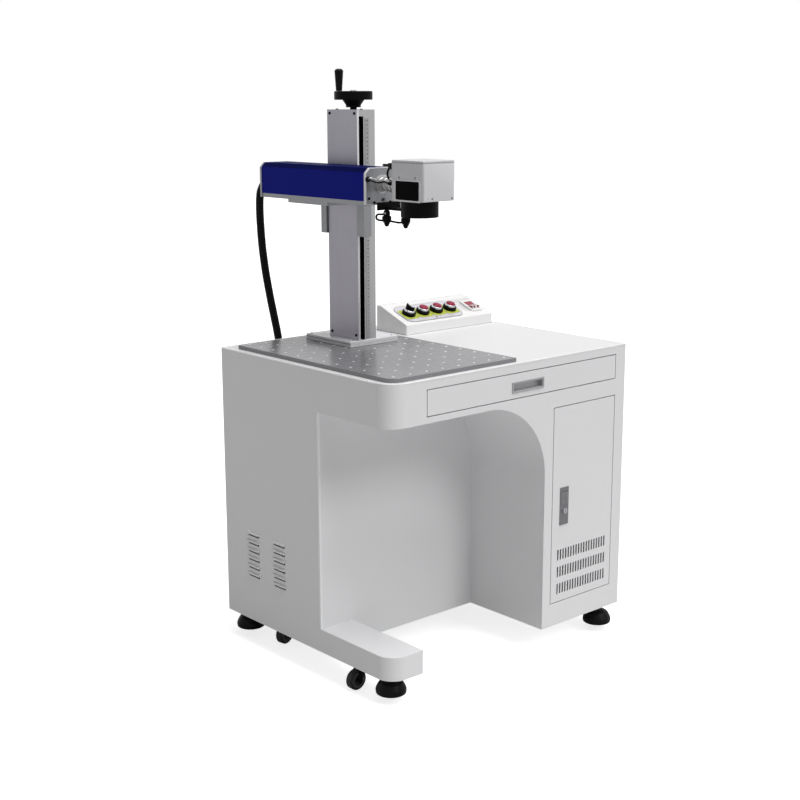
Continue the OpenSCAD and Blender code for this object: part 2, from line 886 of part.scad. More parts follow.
// Rocker with two faces at an angle, tipped about two pins in the frame's sides
module rocker_switch() color(red) on_slope(rocker_x, switch_s) translate([0, 0, rocker_pivot]) {
    w = rocker_window[0] - 2 * rocker_side_gap;
    r = rocker_window[1] / 2 - rocker_side_gap;
    along_x(-w / 2, w) intersection() {
        circle(r);
        polygon([
            [-r, -rocker_deep], [r, -rocker_deep], [r, rocker_lift], [0, rocker_lift],
            [-r, rocker_lift + r * tan(rocker_tip)]
        ]);
    }
    rod_x([-w / 2 - rocker_side_gap - rocker_pin_out, 0, 0],
          w + 2 * (rocker_side_gap + rocker_pin_out), rocker_pin_r);
}

module column_base() color(silver) {
    top = cab_h + plate_t;
    difference() {
        union() {
            block([base_x, base_y, top], [base_x + base_w, base_y + base_d, top + base_step]);
            block([base_x + base_groove_in, base_y + base_groove_in, top + base_step],
                  [base_x + base_w - base_groove_in, base_y + base_d - base_groove_in,
                   top + base_step + base_groove]);
            block([base_x, base_y, top + base_step + base_groove],
                  [base_x + base_w, base_y + base_d, top + base_t]);
        }
        rod_z([screw_x, column_mid, column_z - journal_l - slide_gap], journal_l + slide_gap + cut,
              journal_r + run);
    }
}

// Column places
column_z = cab_h + plate_t + base_t;
column_top = column_z + column_h;
cap_z = column_top - cap_t;
column_mid = column_y + column_d / 2;
channel_x = column_x + cover_t + slot_w;
channel_end = column_x + column_w;

module column_channel() color(silver) difference() {
    block([channel_x, column_y, column_z], [channel_end, column_y + column_d, cap_z]);
    block([channel_x - cut, column_y + channel_wall, column_z - cut],
          [channel_end - channel_web, column_y + column_d - channel_wall, cap_z + cut]);
}

module column_cover() color(silver)
    block([column_x, column_y, column_z], [column_x + cover_t, column_y + column_d, column_top]);

module column_cap() color(silver) difference() {
    block([column_x + cover_t, column_y, cap_z], [channel_end, column_y + column_d, column_top]);
    rod_z([screw_x, column_mid, cap_z - cut], cap_t + 2 * cut, screw_r + run);
}

module guide_rods() color(steel)
    for (side = [-1, 1])
        rod_z([guide_x, column_mid + side * guide_spread, column_z], cap_z - column_z, guide_r);

// Lead screw, from its journal in the base to its seat in the handwheel
module lead_screw() color(steel) {
    rod_z([screw_x, column_mid, column_z - journal_l], journal_l + cut, journal_r);
    rod_z([screw_x, column_mid, column_z + slide_gap], column_h + wheel_lift - slide_gap, screw_r);
    rod_z([screw_x, column_mid, column_top + slide_gap], wheel_hub_z - slide_gap, collar_r);
}

// Dished wheel with a cone hub, seated on the screw
module handwheel() color(black) translate([screw_x, column_mid, column_top]) {
    difference() {
        rotate_extrude($fn = 72) difference() {
            polygon([
                [0, wheel_hub_z], [wheel_hub_r, wheel_hub_z], [wheel_hub_r, wheel_cone_z],
                [wheel_hub_top_r, wheel_lift], [wheel_rim_r - wheel_lower_edge, wheel_lift],
                [wheel_rim_r, wheel_lift + wheel_lower_edge],
                [wheel_rim_r, wheel_lift + wheel_rim_h - wheel_upper_edge],
                [wheel_rim_r - wheel_upper_edge, wheel_lift + wheel_rim_h],
                [0, wheel_lift + wheel_rim_h]
            ]);
            translate([wheel_boss_r, wheel_lift + wheel_web_z + wheel_web_t])
                square([wheel_rim_r - wheel_rim_t - wheel_boss_r, wheel_rim_h]);
        }
        rod_z([0, 0, wheel_hub_z - cut], wheel_lift - wheel_hub_z + cut, screw_r);
    }
    rotate(grip_turn) rod_z([grip_at, 0, wheel_lift + wheel_rim_h / 2],
        wheel_rim_h / 2 + grip_l - grip_blind, grip_spindle_r);
}

// Tapered grip, hollow for its spindle
module handwheel_grip() color(black) translate([screw_x, column_mid, column_top + wheel_lift + wheel_rim_h])
    rotate(grip_turn) translate([grip_at, 0, slide_gap]) difference() {
        rotate_extrude() {
            polygon([
                [0, 0], [grip_neck_r, 0], [grip_r, grip_l - grip_round],
                [grip_r - grip_round, grip_l - slide_gap], [0, grip_l - slide_gap]
            ]);
        }
        rod_z([0, 0, -cut], grip_l - grip_blind + cut, grip_spindle_r + run);
    }

// Carriage places
carriage_top = arm_z - support_t;
carriage_z = carriage_top - carriage_h;
column_back = column_y + column_d;
front_cheek_y = column_y - cheek_gap - front_cheek_d;
rear_cheek_y = column_back + cheek_gap;
tongue_x = column_x + cover_t + tongue_gap;
tongue_end = channel_x - tongue_gap;

module carriage() color(silver) difference() {
    union() {
        block([cheek_x, front_cheek_y, carriage_z],
              [cheek_x + cheek_t, front_cheek_y + front_cheek_d, carriage_top]);
        block([cheek_x, rear_cheek_y, carriage_z],
              [cheek_x + cheek_t, rear_cheek_y + rear_cheek_d, carriage_top]);
        block([tongue_x, front_cheek_y, carriage_z],
              [tongue_end, rear_cheek_y + rear_cheek_d, carriage_top]);
        block([tongue_end - cut, column_mid - block_d / 2, carriage_z],
              [block_end, column_mid + block_d / 2, carriage_top]);
    }
    rod_z([screw_x, column_mid, carriage_z - cut], carriage_h + 2 * cut, screw_r + run);
    for (side = [-1, 1]) rod_z([guide_x, column_mid + side * guide_spread, carriage_z - cut],
        carriage_h + 2 * cut, guide_r + run);
}

module support_plate() color(silver) {
    block([arm_x, support_y, carriage_top], [arm_x + arm_w, support_y + support_d, arm_z]);
    block([arm_x + arm_w - ear_in, front_cheek_y, carriage_top],
          [cheek_x + cheek_t, front_cheek_y + front_cheek_d - ear_gap, arm_z]);
    block([arm_x + arm_w - ear_in, rear_cheek_y + ear_gap, carriage_top],
          [cheek_x + cheek_t, rear_cheek_y + rear_cheek_d, arm_z]);
}

module arm_rail() color(silver)
    block([arm_x, arm_y, arm_z], [arm_x + arm_w, arm_y + arm_l, arm_z + arm_rail_t]);

// Arm section with chamfered top corners, in by w
module arm_section(x0, w, h, c, t) {
    translate([x0, 0]) polygon([
        [t, 0], [w - t, 0], [w - t, h - c - t * tan(chamfer_half)], [w - c - t * tan(chamfer_half), h - t],
        [c + t * tan(chamfer_half), h - t], [t, h - c - t * tan(chamfer_half)]
    ]);
}

module arm_body() color(blue) translate([0, 0, arm_z + arm_rail_t]) along_y(arm_y, arm_l) difference() {
    arm_section(arm_x, arm_w, arm_h, arm_chamfer, 0);
    translate([0, -cut]) arm_section(arm_x, arm_w, arm_h + cut, arm_chamfer, arm_wall);
}

end_h = arm_rail_t + arm_h;
end_x = arm_x + arm_w / 2 - end_w / 2;

module arm_end_plates() color(silver) {
    translate([0, 0, arm_z + end_drop]) difference() {
        along_y(arm_y - end_front_t, end_front_t)
            arm_section(end_x, end_w, end_h - end_drop, arm_chamfer + end_drop, 0);
        rod_y([tube_x, arm_y - end_front_t - cut, tube_z - end_drop], end_front_t + 2 * cut, tube_bore_r);
    }
    translate([0, 0, arm_z]) {
        along_y(arm_y + arm_l, end_back_t) arm_section(end_x, end_w, end_h, arm_chamfer + end_drop, 0);
        rod_y([arm_x + arm_w / 2, arm_y + arm_l + end_back_t, hose_route[0][2] - arm_z],
              gland_t, gland_r);
    }
}

module adapter_tube() color(silver) difference() {
    rod_y([tube_x, head_y + head_d, arm_z + tube_z], arm_y - end_front_t - head_y - head_d, tube_r);
    rod_y([tube_x, head_y + head_d - cut, arm_z + tube_z],
          arm_y - end_front_t - head_y - head_d + 2 * cut, tube_bore_r);
}

// Scan head places
head_x = arm_x - end_drop;
head_base = arm_z + head_z;

module scan_head() color(white) difference() {
    block([head_x, head_y, head_base], [head_x + head_w, head_y + head_d, head_base + head_h]);
    block([head_x + head_wall, head_y + head_wall, head_base + head_wall],
          [head_x + head_w - head_wall, head_y + head_d - head_wall, head_base + head_h - head_wall]);
    difference() {
        translate([0, 0, head_base + head_h - head_lid]) block([head_x - cut, head_y - cut, 0],
            [head_x + head_w + cut, head_y + head_d + cut, head_groove]);
        block([head_x + head_groove, head_y + head_groove, head_base],
              [head_x + head_w - head_groove, head_y + head_d - head_groove, head_base + head_h]);
    }
    translate([head_x - cut, head_y + window_inset[0] - sheet, head_base + window_inset[1]])
        cube([window_deep + cut, window_size[0], window_size[1]]);
    rod_z([tube_x, lens_y, head_base - cut], head_wall + 2 * cut, neck_r + neck_gap);
    rod_y([tube_x, head_y + head_d - head_wall - cut, arm_z + tube_z], head_wall + 2 * cut, tube_bore_r);
}

// Lens barrel with a grooved ring, a neck in the head and a seat for the glass at each end
module lens() color(black) translate([tube_x, lens_y, head_base - lens_h]) rotate_extrude($fn = 72)
    difference() {
        union() {
            polygon([
                [0, 0], [lens_r - lens_ring_in, 0], [lens_r, lens_ring_in], [lens_r, lens_ring_h],
                [lens_r - lens_ring_in, lens_ring_h], [lens_r - lens_ring_in, lens_ring_h + lens_ring_in],
                [lens_r, lens_ring_h + lens_ring_in], [lens_r, lens_h], [0, lens_h]
            ]);
            square([neck_r, lens_h + head_wall]);
        }
        translate([0, -cut]) square([lens_glass_r, lens_glass_z + cut]);
        translate([0, lens_h - lens_glass_z]) square([lens_glass_r, lens_glass_z + head_wall + cut]);
    }

// Galvo motors: the first hangs from the lid, the second stands on the front wall
mirror_one = [tube_x + mirror_shift, lens_y, head_base + beam_z];
mirror_two = [tube_x, lens_y, head_base + beam_z];

module galvo_motors() color(steel) {
    difference() {
        rod_z(mirror_one + [0, 0, motor_gap],
              head_base + head_h - head_wall - mirror_one[2] - motor_gap, motor_r);
        rod_z(mirror_one + [0, 0, motor_gap - cut], mirror_shaft_l, mirror_shaft_r + run);
    }
    difference() {
        rod_y([mirror_two[0], head_y + head_wall, mirror_two[2]],
              lens_y - head_y - head_wall - motor_gap, motor_r);
        rod_y([mirror_two[0], lens_y - motor_gap - mirror_shaft_l + cut, mirror_two[2]],
              mirror_shaft_l, mirror_shaft_r + run);
    }
}

// Mirror plate on its shaft, drawn with the shaft along Z
module mirror_on_shaft() {
    rotate(45) translate([-mirror_w / 2, -mirror_t / 2, -mirror_h / 2])
        cube([mirror_w, mirror_t, mirror_h]);
    rod_z([0, 0, mirror_h / 2 - cut], motor_gap + mirror_shaft_l - mirror_h / 2 - 2 * cut,
          mirror_shaft_r);
}

module galvo_mirror_x() color(silver) translate(mirror_one) mirror_on_shaft();
module galvo_mirror_y() color(silver) translate(mirror_two) rotate([90, 0, 0]) mirror_on_shaft();

// Bracket under the front end plate with a bar that carries the two pointers
bracket_top = arm_z + end_drop + bracket_t;
bar_z = arm_z - bar_drop;
pivot_z = bar_z - pointer_pivot;

module pointer_bracket() color(black) difference() {
    union() {
        block([bracket_x, arm_y - end_front_t - bracket_t, bracket_top - bracket_h + bracket_t],
              [bracket_x + bracket_w, arm_y - end_front_t, bracket_top]);
        block([bar_x - bar_w / 2, pointer_y[1] - bar_w, bar_z],
              [bar_x + bar_w / 2, pointer_y[0] + bar_w, bar_z + bar_t]);
        for (y = pointer_y) block([bar_x - lug_t / 2, y - lug_d / 2, bar_z - lug_drop],
                                  [bar_x + lug_t / 2, y + lug_d / 2, bar_z + cut]);
    }
    for (y = pointer_y) rod_x([bar_x - lug_t, y, pivot_z], 2 * lug_t, lug_hole_r + run);
}

// Red-dot pointer: a fork on the lug, a pin through it and a tapered barrel
module pointer(y) color(black) translate([bar_x, y, pivot_z]) {
    for (side = [-1, 1])
        translate([side * (lug_t / 2 + pointer_gap + fork_t / 2), 0, -pointer_shoulder / 2])
            cube([fork_t, pointer_fork_d, pointer_shoulder + pointer_pivot], center = true);
    rod_x([-pointer_fork_w / 2, 0, 0], pointer_fork_w, lug_hole_r);
    translate([0, 0, -pointer_shoulder - pointer_l]) rotate_extrude() polygon([
        [0, 0], [pointer_tip_r, 0], [pointer_tip_r, pointer_neck],
        [pointer_flange_r - pointer_neck, pointer_l - pointer_neck],
        [pointer_flange_r, pointer_l - pointer_neck / 2], [pointer_flange_r, pointer_l - pointer_gap],
        [0, pointer_l - pointer_gap]
    ]);
}

module pointer_rear() pointer(pointer_y[0]);
module pointer_front() pointer(pointer_y[1]);

// Unit vector and cross product helpers for the swept tubes
function unit(v) = v / norm(v);
function way(p, i) = unit(p[min(i + 1, len(p) - 1)] - p[max(i - 1, 0)]);
function side_of(t, up) = unit(cross(t, up));

// One ring of a swept tube round point p, square to direction t
function ring(p, t, r, n, up) =
    let (s = side_of(t, up), u = cross(s, t))
    [for (k = [0 : n - 1]) p + r * (cos(360 * k / n) * s + sin(360 * k / n) * u)];

// Tube swept along points, capped at both ends
module swept_tube(p, r, n, up) {
    m = len(p);
    points = [for (i = [0 : m - 1]) each ring(p[i], way(p, i), r, n, up)];
    sides = [for (i = [0 : m - 2], k = [0 : n - 1]) let (a = i * n + k, b = i * n + (k + 1) % n)
        each [[a, b, b + n], [a, b + n, a + n]]];
    start = [[for (k = [n - 1 : -1 : 0]) k]];
    end = [[for (k = [0 : n - 1]) (m - 1) * n + k]];
    polyhedron(points = points, faces = concat(sides, start, end), convexity = 4);
}

module conduit() color(black) swept_tube(hose_route, hose_r, hose_sides, [1, 0, 0]);

module signal_leads() color(black) {
    for (p = lead_routes) swept_tube(p, lead_r, lead_sides, [0, 0, 1]);
    rod_y(grommet - [0, grommet_t, 0], grommet_t, grommet_r, $fn = 24);
    translate([plug_x, head_y + head_d, plug_z]) cube(plug_size);
}

// Levelling feet
foot_places = [
    [foot_side, foot_front_left], [cab_w - foot_side, foot_front_right],
    [foot_side, cab_d - foot_rear], [cab_w - foot_side, cab_d - foot_rear]
];

module levelling_feet() color(black) for (f = foot_places) translate([f[0], f[1], 0]) {
    translate([0, 0, pad_lift - floor_gap]) rotate_extrude() polygon(concat(
        [[0, 0]], [for (share = pad_outline) [share[0] * pad_r, share[1] * pad_h]], [[0, pad_h]]
    ));
    rod_z([0, 0, pad_lift - floor_gap + pad_h], floor_gap - pad_lift - pad_h, pad_stem_r);
    translate([0, 0, -pad_nut_h]) cylinder(h = pad_nut_h, r = pad_nut_r, $fn = 6);
}

// Casters
caster_places = [
    [caster_side, caster_front, 0], [cab_w - caster_side, caster_front, 0],
    [caster_side, cab_d - caster_rear, 0], [cab_w - caster_side, cab_d - caster_rear, 0]
];
axle_z = caster_r - floor_gap;
crown_z = -caster_plate_t - crown_gap;
fork_out = caster_w / 2 + fork_gap + fork_t;

module caster_fork(i) color(black) translate(caster_places[i]) rotate(caster_turns[i]) difference() {
    union() {
        rod_z([0, 0, crown_z - crown_t], crown_t, crown_r);
        for (side = [-1, 1]) translate([0, side * (fork_out - fork_t / 2), 0]) {
            along_y(-fork_t / 2, fork_t) polygon([
                [-fork_half, crown_z - crown_t / 2], [fork_half, crown_z - crown_t / 2],
                [caster_trail + axle_head_r, axle_z], [caster_trail, axle_z - axle_head_r],
                [caster_trail - axle_head_r, axle_z]
            ]);
        }
        rod_y([caster_trail, -fork_out - axle_head_t, axle_z], 2 * (fork_out + axle_head_t), axle_r);
        for (side = [-1, 1])
            rod_y([caster_trail, side * (fork_out + axle_head_t / 2) - axle_head_t / 2, axle_z],
                  axle_head_t, axle_head_r);
    }
    rod_z([0, 0, crown_z - crown_t - cut], crown_t + 2 * cut, kingpin_r + run);
}

module caster_wheel(i) color(black) translate(caster_places[i]) rotate(caster_turns[i])
    translate([caster_trail, caster_w / 2, axle_z]) rotate([90, 0, 0]) rotate_extrude($fn = 72) polygon([
        [axle_r + run, 0], [caster_r - tread_round, 0], [caster_r, tread_round],
        [caster_r, caster_w - tread_round], [caster_r - tread_round, caster_w], [axle_r + run, caster_w]
    ]);

module caster_fork_front_left() caster_fork(0);
module caster_fork_front_right() caster_fork(1);
module caster_fork_rear_left() caster_fork(2);
module caster_fork_rear_right() caster_fork(3);
module caster_wheel_front_left() caster_wheel(0);
module caster_wheel_front_right() caster_wheel(1);
module caster_wheel_rear_left() caster_wheel(2);
module caster_wheel_rear_right() caster_wheel(3);

// From the cabinet's corner to the floor under the middle of the machine
module place() translate([
    -(cab_w - louvre_h) / 2,
    -(foot_front_right - pad_r + cab_d - foot_rear + pad_r) / 2,
    floor_gap
]) children();

place() left_side();
place() front_panel();
place() kneehole_liner();
place() right_side();
place() back_panel();
place() base_frame();
place() table_top();
place() work_plate();
place() drawer_box();
place() drawer_front();
place() drawer_pull();
place() drawer_runners();
place() door_panel();
place() door_lock();
place() door_handle();
place() lock_button();
place() laser_source();
place() control_computer();
place() rear_connectors();
place() console_housing();
place() control_plate();
place() switch_bodies();
place() selector_knob();
place() button_left();
place() button_middle();
place() button_right();
place() rocker_switch();
place() column_base();
place() column_channel();
place() column_cover();
place() column_cap();
place() guide_rods();
place() lead_screw();
place() handwheel();
place() handwheel_grip();
place() carriage();
place() support_plate();
place() arm_rail();
place() arm_body();
place() arm_end_plates();
place() adapter_tube();
place() scan_head();
place() lens();
place() galvo_motors();
place() galvo_mirror_x();
place() galvo_mirror_y();
place() pointer_bracket();
place() pointer_rear();
place() pointer_front();
place() signal_leads();
place() conduit();
place() levelling_feet();
place() caster_fork_front_left();
place() caster_fork_front_right();
place() caster_fork_rear_left();
place() caster_fork_rear_right();
place() caster_wheel_front_left();
place() caster_wheel_front_right();
place() caster_wheel_rear_left();
place() caster_wheel_rear_right();
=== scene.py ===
import json
import bpy
import bmesh
import numpy as np
from mathutils import Matrix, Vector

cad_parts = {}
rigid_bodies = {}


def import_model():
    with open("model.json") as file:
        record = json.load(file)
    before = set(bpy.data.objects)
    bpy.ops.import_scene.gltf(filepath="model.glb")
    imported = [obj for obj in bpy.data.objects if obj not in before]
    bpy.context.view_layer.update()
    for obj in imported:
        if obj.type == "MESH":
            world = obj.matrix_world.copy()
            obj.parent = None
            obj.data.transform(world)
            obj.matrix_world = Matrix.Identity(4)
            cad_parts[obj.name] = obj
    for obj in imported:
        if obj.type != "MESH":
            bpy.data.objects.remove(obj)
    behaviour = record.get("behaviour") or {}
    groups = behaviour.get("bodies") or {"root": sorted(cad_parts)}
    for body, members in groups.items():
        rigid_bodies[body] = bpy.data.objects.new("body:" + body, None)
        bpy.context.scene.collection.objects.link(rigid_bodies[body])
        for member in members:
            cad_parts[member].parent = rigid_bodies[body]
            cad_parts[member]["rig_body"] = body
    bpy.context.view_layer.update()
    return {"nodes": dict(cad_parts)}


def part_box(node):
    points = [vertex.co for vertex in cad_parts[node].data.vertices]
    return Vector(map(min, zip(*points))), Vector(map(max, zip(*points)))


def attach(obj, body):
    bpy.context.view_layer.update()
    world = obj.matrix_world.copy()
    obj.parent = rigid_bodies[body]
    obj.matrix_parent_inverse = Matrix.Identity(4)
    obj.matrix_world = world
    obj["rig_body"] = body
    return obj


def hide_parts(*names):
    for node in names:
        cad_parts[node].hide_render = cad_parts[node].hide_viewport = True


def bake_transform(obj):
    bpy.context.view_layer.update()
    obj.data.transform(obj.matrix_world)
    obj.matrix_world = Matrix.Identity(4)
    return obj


print("Loading the packed machine")
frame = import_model()
nodes = frame["nodes"]

# Places are given in millimetres from the cabinet's front left bottom corner, X right, Y back, Z up
cabinetCorner = np.array([-397.5, -324.5, 70.0])
machine = {"width": 800.0, "depth": 650.0, "height": 700.0, "cornerRound": 45.0,
           "columnLeft": 229.0, "columnFront": 381.0, "columnTop": 1288.0, "columnFoot": 725.0,
           "armFront": 229.0, "tubeX": 175.7, "tubeZ": 1120.0}
corners = ("front_left", "front_right", "rear_left", "rear_right")
sunk = 0.02  # how far a piece's back lies inside the face that holds it


print("Camera")

camera = {"place": (-2.3253, -2.5470, 1.3888), "turn": 41.37, "tilt": 12.44, "roll": -0.14,
          "lens": 61.93, "sensor": 36.0, "farEnd": 60.0}


def standUp(name, data, right, up, back, place=(0.0, 0.0, 0.0)):
    # an object whose own axes point along right, up and back, with its origin at place
    thing = bpy.data.objects.new(name, data)
    columns = np.eye(4)
    columns[:3] = np.stack([right, up, back, place], -1)
    thing.matrix_world = Matrix(columns.tolist())
    bpy.context.scene.collection.objects.link(thing)
    return thing


def addCamera(c):
    # looks along (sin turn cos tilt, cos turn cos tilt, -sin tilt), then rolls about that line
    turn, tilt, roll = np.radians([c["turn"], c["tilt"], c["roll"]])
    ahead = np.array([np.sin(turn) * np.cos(tilt), np.cos(turn) * np.cos(tilt), -np.sin(tilt)])
    level = np.array([np.cos(turn), -np.sin(turn), 0.0])
    above = np.cross(level, ahead)
    right = np.cos(roll) * level + np.sin(roll) * above
    up = np.cos(roll) * above - np.sin(roll) * level
    data = bpy.data.cameras.new("camera")
    data.lens = c["lens"]
    data.sensor_width = c["sensor"]
    data.clip_end = c["farEnd"]
    bpy.context.scene.camera = standUp("camera", data, right, up, -ahead, c["place"])


addCamera(camera)


print("Finishes")

socketKinds = {"Colour": "NodeSocketColor", "Dust": "NodeSocketColor", "PaintedEdgeColour": "NodeSocketColor",
               "Strokes": "NodeSocketVector", "Normal": "NodeSocketVector"}


def addNode(tree, kind, inputs=None, **settings):
    # settings come first, as they decide the sockets; an input is a value or another node's output
    node = tree.nodes.new(kind)
    for name, value in settings.items():
        setattr(node, name, value)
    for name, value in (inputs or {}).items():
        if isinstance(value, bpy.types.NodeSocket):
            tree.links.new(value, node.inputs[name])
        else:
            node.inputs[name].default_value = value
    return node


def reckon(tree, operation, *values, clamped=False):
    # the result of one Math node on up to three values or outputs
    return addNode(tree, "ShaderNodeMath", dict(enumerate(values)), operation=operation,
                   use_clamp=clamped).outputs[0]


def addNoise(tree, place, scale, detail, roughness=0.5):
    # fractal noise about 0.5 at each place
    return addNode(tree, "ShaderNodeTexNoise", {"Vector": place, "Scale": scale, "Detail": detail,
                                                "Roughness": roughness}).outputs["Fac"]


def startGroup(name, inputs, outputs):
    # every group takes and gives a colour; other sockets are numbers unless socketKinds says more
    group = bpy.data.node_groups.new(name, "ShaderNodeTree")
    for label, value in {"Colour": (0.5, 0.5, 0.5, 1.0), **inputs}.items():
        kind = socketKinds.get(label, "NodeSocketFloat")
        group.interface.new_socket(name=label, in_out="INPUT", socket_type=kind).default_value = value
    for label in ("Colour", *outputs):
        kind = socketKinds.get(label, "NodeSocketFloat")
        group.interface.new_socket(name=label, in_out="OUTPUT", socket_type=kind)
    place = addNode(group, "ShaderNodeTexCoord").outputs["Object"]
    return group, addNode(group, "NodeGroupInput").outputs, place


def endGroup(group, ends):
    # joins each named result to the group's output
    addNode(group, "NodeGroupOutput", ends)
    return group


def endSkin(group, source, waves, glossSwing, height):
    # colour x (1 + the sum of amount x (wave - 0.5)), roughness = gloss + swing x (first wave - 0.5)
    swings = [reckon(group, "SUBTRACT", wave, 0.5) for wave in waves.values()]
    tone = 1.0
    for label, swing in zip(waves, swings):
        tone = reckon(group, "MULTIPLY_ADD", swing, source[label], tone)
    scaled = addNode(group, "ShaderNodeVectorMath", {0: source["Colour"], "Scale": tone},
                     operation="SCALE").outputs[0]
    rough = reckon(group, "MULTIPLY_ADD", swings[0], glossSwing, source["Gloss"])
    return endGroup(group, {"Colour": scaled, "Roughness": rough, "Height": height})


def makePaintSkin():
    # cured powder: fine pebbles for height over slow waves of tone and gloss
    group, source, place = startGroup("paintSkin", {"Pebble": 700.0, "Gloss": 0.4, "Drift": 0.04},
                                      ["Roughness", "Height"])
    pebble = addNoise(group, place, source["Pebble"], 2.0)
    return endSkin(group, source, {"Drift": addNoise(group, place, 5.0, 3.0)}, 0.18, pebble)


def makeBrushMarks():
    # metal drawn in one direction: noise squeezed across the strokes, with broad cloudy patches
    group, source, place = startGroup(
        "brushMarks", {"Strokes": (900.0, 900.0, 12.0), "Gloss": 0.35, "Streak": 0.2, "Cloud": 0.1},
        ["Roughness", "Height"])
    squeezed = addNode(group, "ShaderNodeMapping", {"Vector": place, "Scale": source["Strokes"]})
    strokes = addNoise(group, squeezed.outputs[0], 1.0, 5.0, 0.65)
    clouds = addNoise(group, place, 9.0, 4.0, 0.6)
    return endSkin(group, source, {"Streak": strokes, "Cloud": clouds}, 0.35, strokes)


def makeMouldGrain():
    # moulded plastic or rubber: pebbled cells for height over a fine haze of tone and gloss
    group, source, place = startGroup("mouldGrain", {"Grain": 1500.0, "Gloss": 0.45, "Mottle": 0.3},
                                      ["Roughness", "Height"])
    cells = addNode(group, "ShaderNodeTexVoronoi", {"Vector": place, "Scale": source["Grain"]})
    haze = addNoise(group, place, 60.0, 5.0)
    return endSkin(group, source, {"Mottle": haze}, 0.25, cells.outputs["Distance"])


def layOver(group, source, mask, label, ends):
    # the colour gives way to the labelled one by the mask
    mixed = addNode(group, "ShaderNodeMix", {"Factor": mask, "A": source["Colour"], "B": source[label]},
                    data_type="RGBA")
    return endGroup(group, {"Colour": mixed.outputs["Result"], **ends})


def makeSettledDust():
    # a thin film on faces that look up: mask = upward part of the normal x noise x amount
    group, source, place = startGroup("settledDust", {"Dust": (0.42, 0.40, 0.37, 1.0), "Amount": 0.1},
                                      ["Mask"])
    normal = addNode(group, "ShaderNodeNewGeometry").outputs["Normal"]
    upward = addNode(group, "ShaderNodeSeparateXYZ", {0: normal}).outputs["Z"]
    facing = reckon(group, "MULTIPLY", upward, addNoise(group, place, 38.0, 6.0, 0.7), clamped=True)
    mask = reckon(group, "MULTIPLY", facing, source["Amount"], clamped=True)
    return layOver(group, source, mask, "Dust", {"Mask": mask})


def makeEdgeRub():
    # on paint or plating, edges painted in another tone: a painted highlight where it is lighter, painted
    # shade where it is darker; mask = (1 - flat normal . rounded normal) x strength
    group, source, place = startGroup(
        "paintedEdgeTone", {"PaintedEdgeColour": (0.8, 0.8, 0.8, 1.0), "Width": 0.0015, "Strength": 1.0}, ["Normal"])
    flat = addNode(group, "ShaderNodeNewGeometry").outputs["True Normal"]
    rounded = addNode(group, "ShaderNodeBevel", {"Radius": source["Width"]}, samples=4).outputs["Normal"]
    meet = addNode(group, "ShaderNodeVectorMath", {0: flat, 1: rounded}, operation="DOT_PRODUCT")
    away = reckon(group, "SUBTRACT", 1.0, meet.outputs["Value"])
    mask = reckon(group, "MULTIPLY", away, source["Strength"], clamped=True)
    return layOver(group, source, mask, "PaintedEdgeColour", {"Normal": rounded})


effects = {"paintSkin": makePaintSkin(), "brushMarks": makeBrushMarks(), "mouldGrain": makeMouldGrain(),
           "settledDust": makeSettledDust(), "paintedEdgeTone": makeEdgeRub()}


def shade(tone):
    # a colour with its alpha, from three values or from one that makes a grey
    return (*np.broadcast_to(tone, 3).tolist(), 1.0)


def emptyTree(owner):
    # the cleared node tree of a material or world
    owner.use_nodes = True
    owner.node_tree.nodes.clear()
    return owner.node_tree


def makeFinish(name, effect, colour, skin, relief, metallic=0.0, coat=0.0, specular=0.5, dust=0.0,
               paintedEdge=None):
    # skin effect, then edges painted as highlight and shade, then dust, into one shader; bump height =
    # relief x skin height
    material = bpy.data.materials.new(name)
    tree = emptyTree(material)
    surface = addNode(tree, "ShaderNodeGroup", node_tree=effects[effect])
    for socket, value in zip(surface.inputs, (shade(colour), *skin)):
        socket.default_value = value
    bump = addNode(tree, "ShaderNodeBump", {"Strength": 0.6, "Distance": relief / 1000.0,
                                            "Height": surface.outputs["Height"]})
    look = surface.outputs["Colour"]
    if paintedEdge:
        edgeColour, width = paintedEdge
        edge = addNode(tree, "ShaderNodeGroup", node_tree=effects["paintedEdgeTone"])
        edge.inputs["PaintedEdgeColour"].default_value = shade(edgeColour)
        edge.inputs["Width"].default_value = width / 1000.0
        tree.links.new(look, edge.inputs["Colour"])
        tree.links.new(edge.outputs["Normal"], bump.inputs["Normal"])
        look = edge.outputs["Colour"]
    if dust:
        film = addNode(tree, "ShaderNodeGroup", node_tree=effects["settledDust"])
        film.inputs["Amount"].default_value = dust
        tree.links.new(look, film.inputs["Colour"])
        look = film.outputs["Colour"]
    shader = addNode(tree, "ShaderNodeBsdfPrincipled", {
        "Metallic": metallic, "Coat Weight": coat, "Coat Roughness": 0.12, "Specular IOR Level": specular,
        "Base Color": look, "Roughness": surface.outputs["Roughness"], "Normal": bump.outputs["Normal"]})
    addNode(tree, "ShaderNodeOutputMaterial", {"Surface": shader.outputs[0]})
    return material
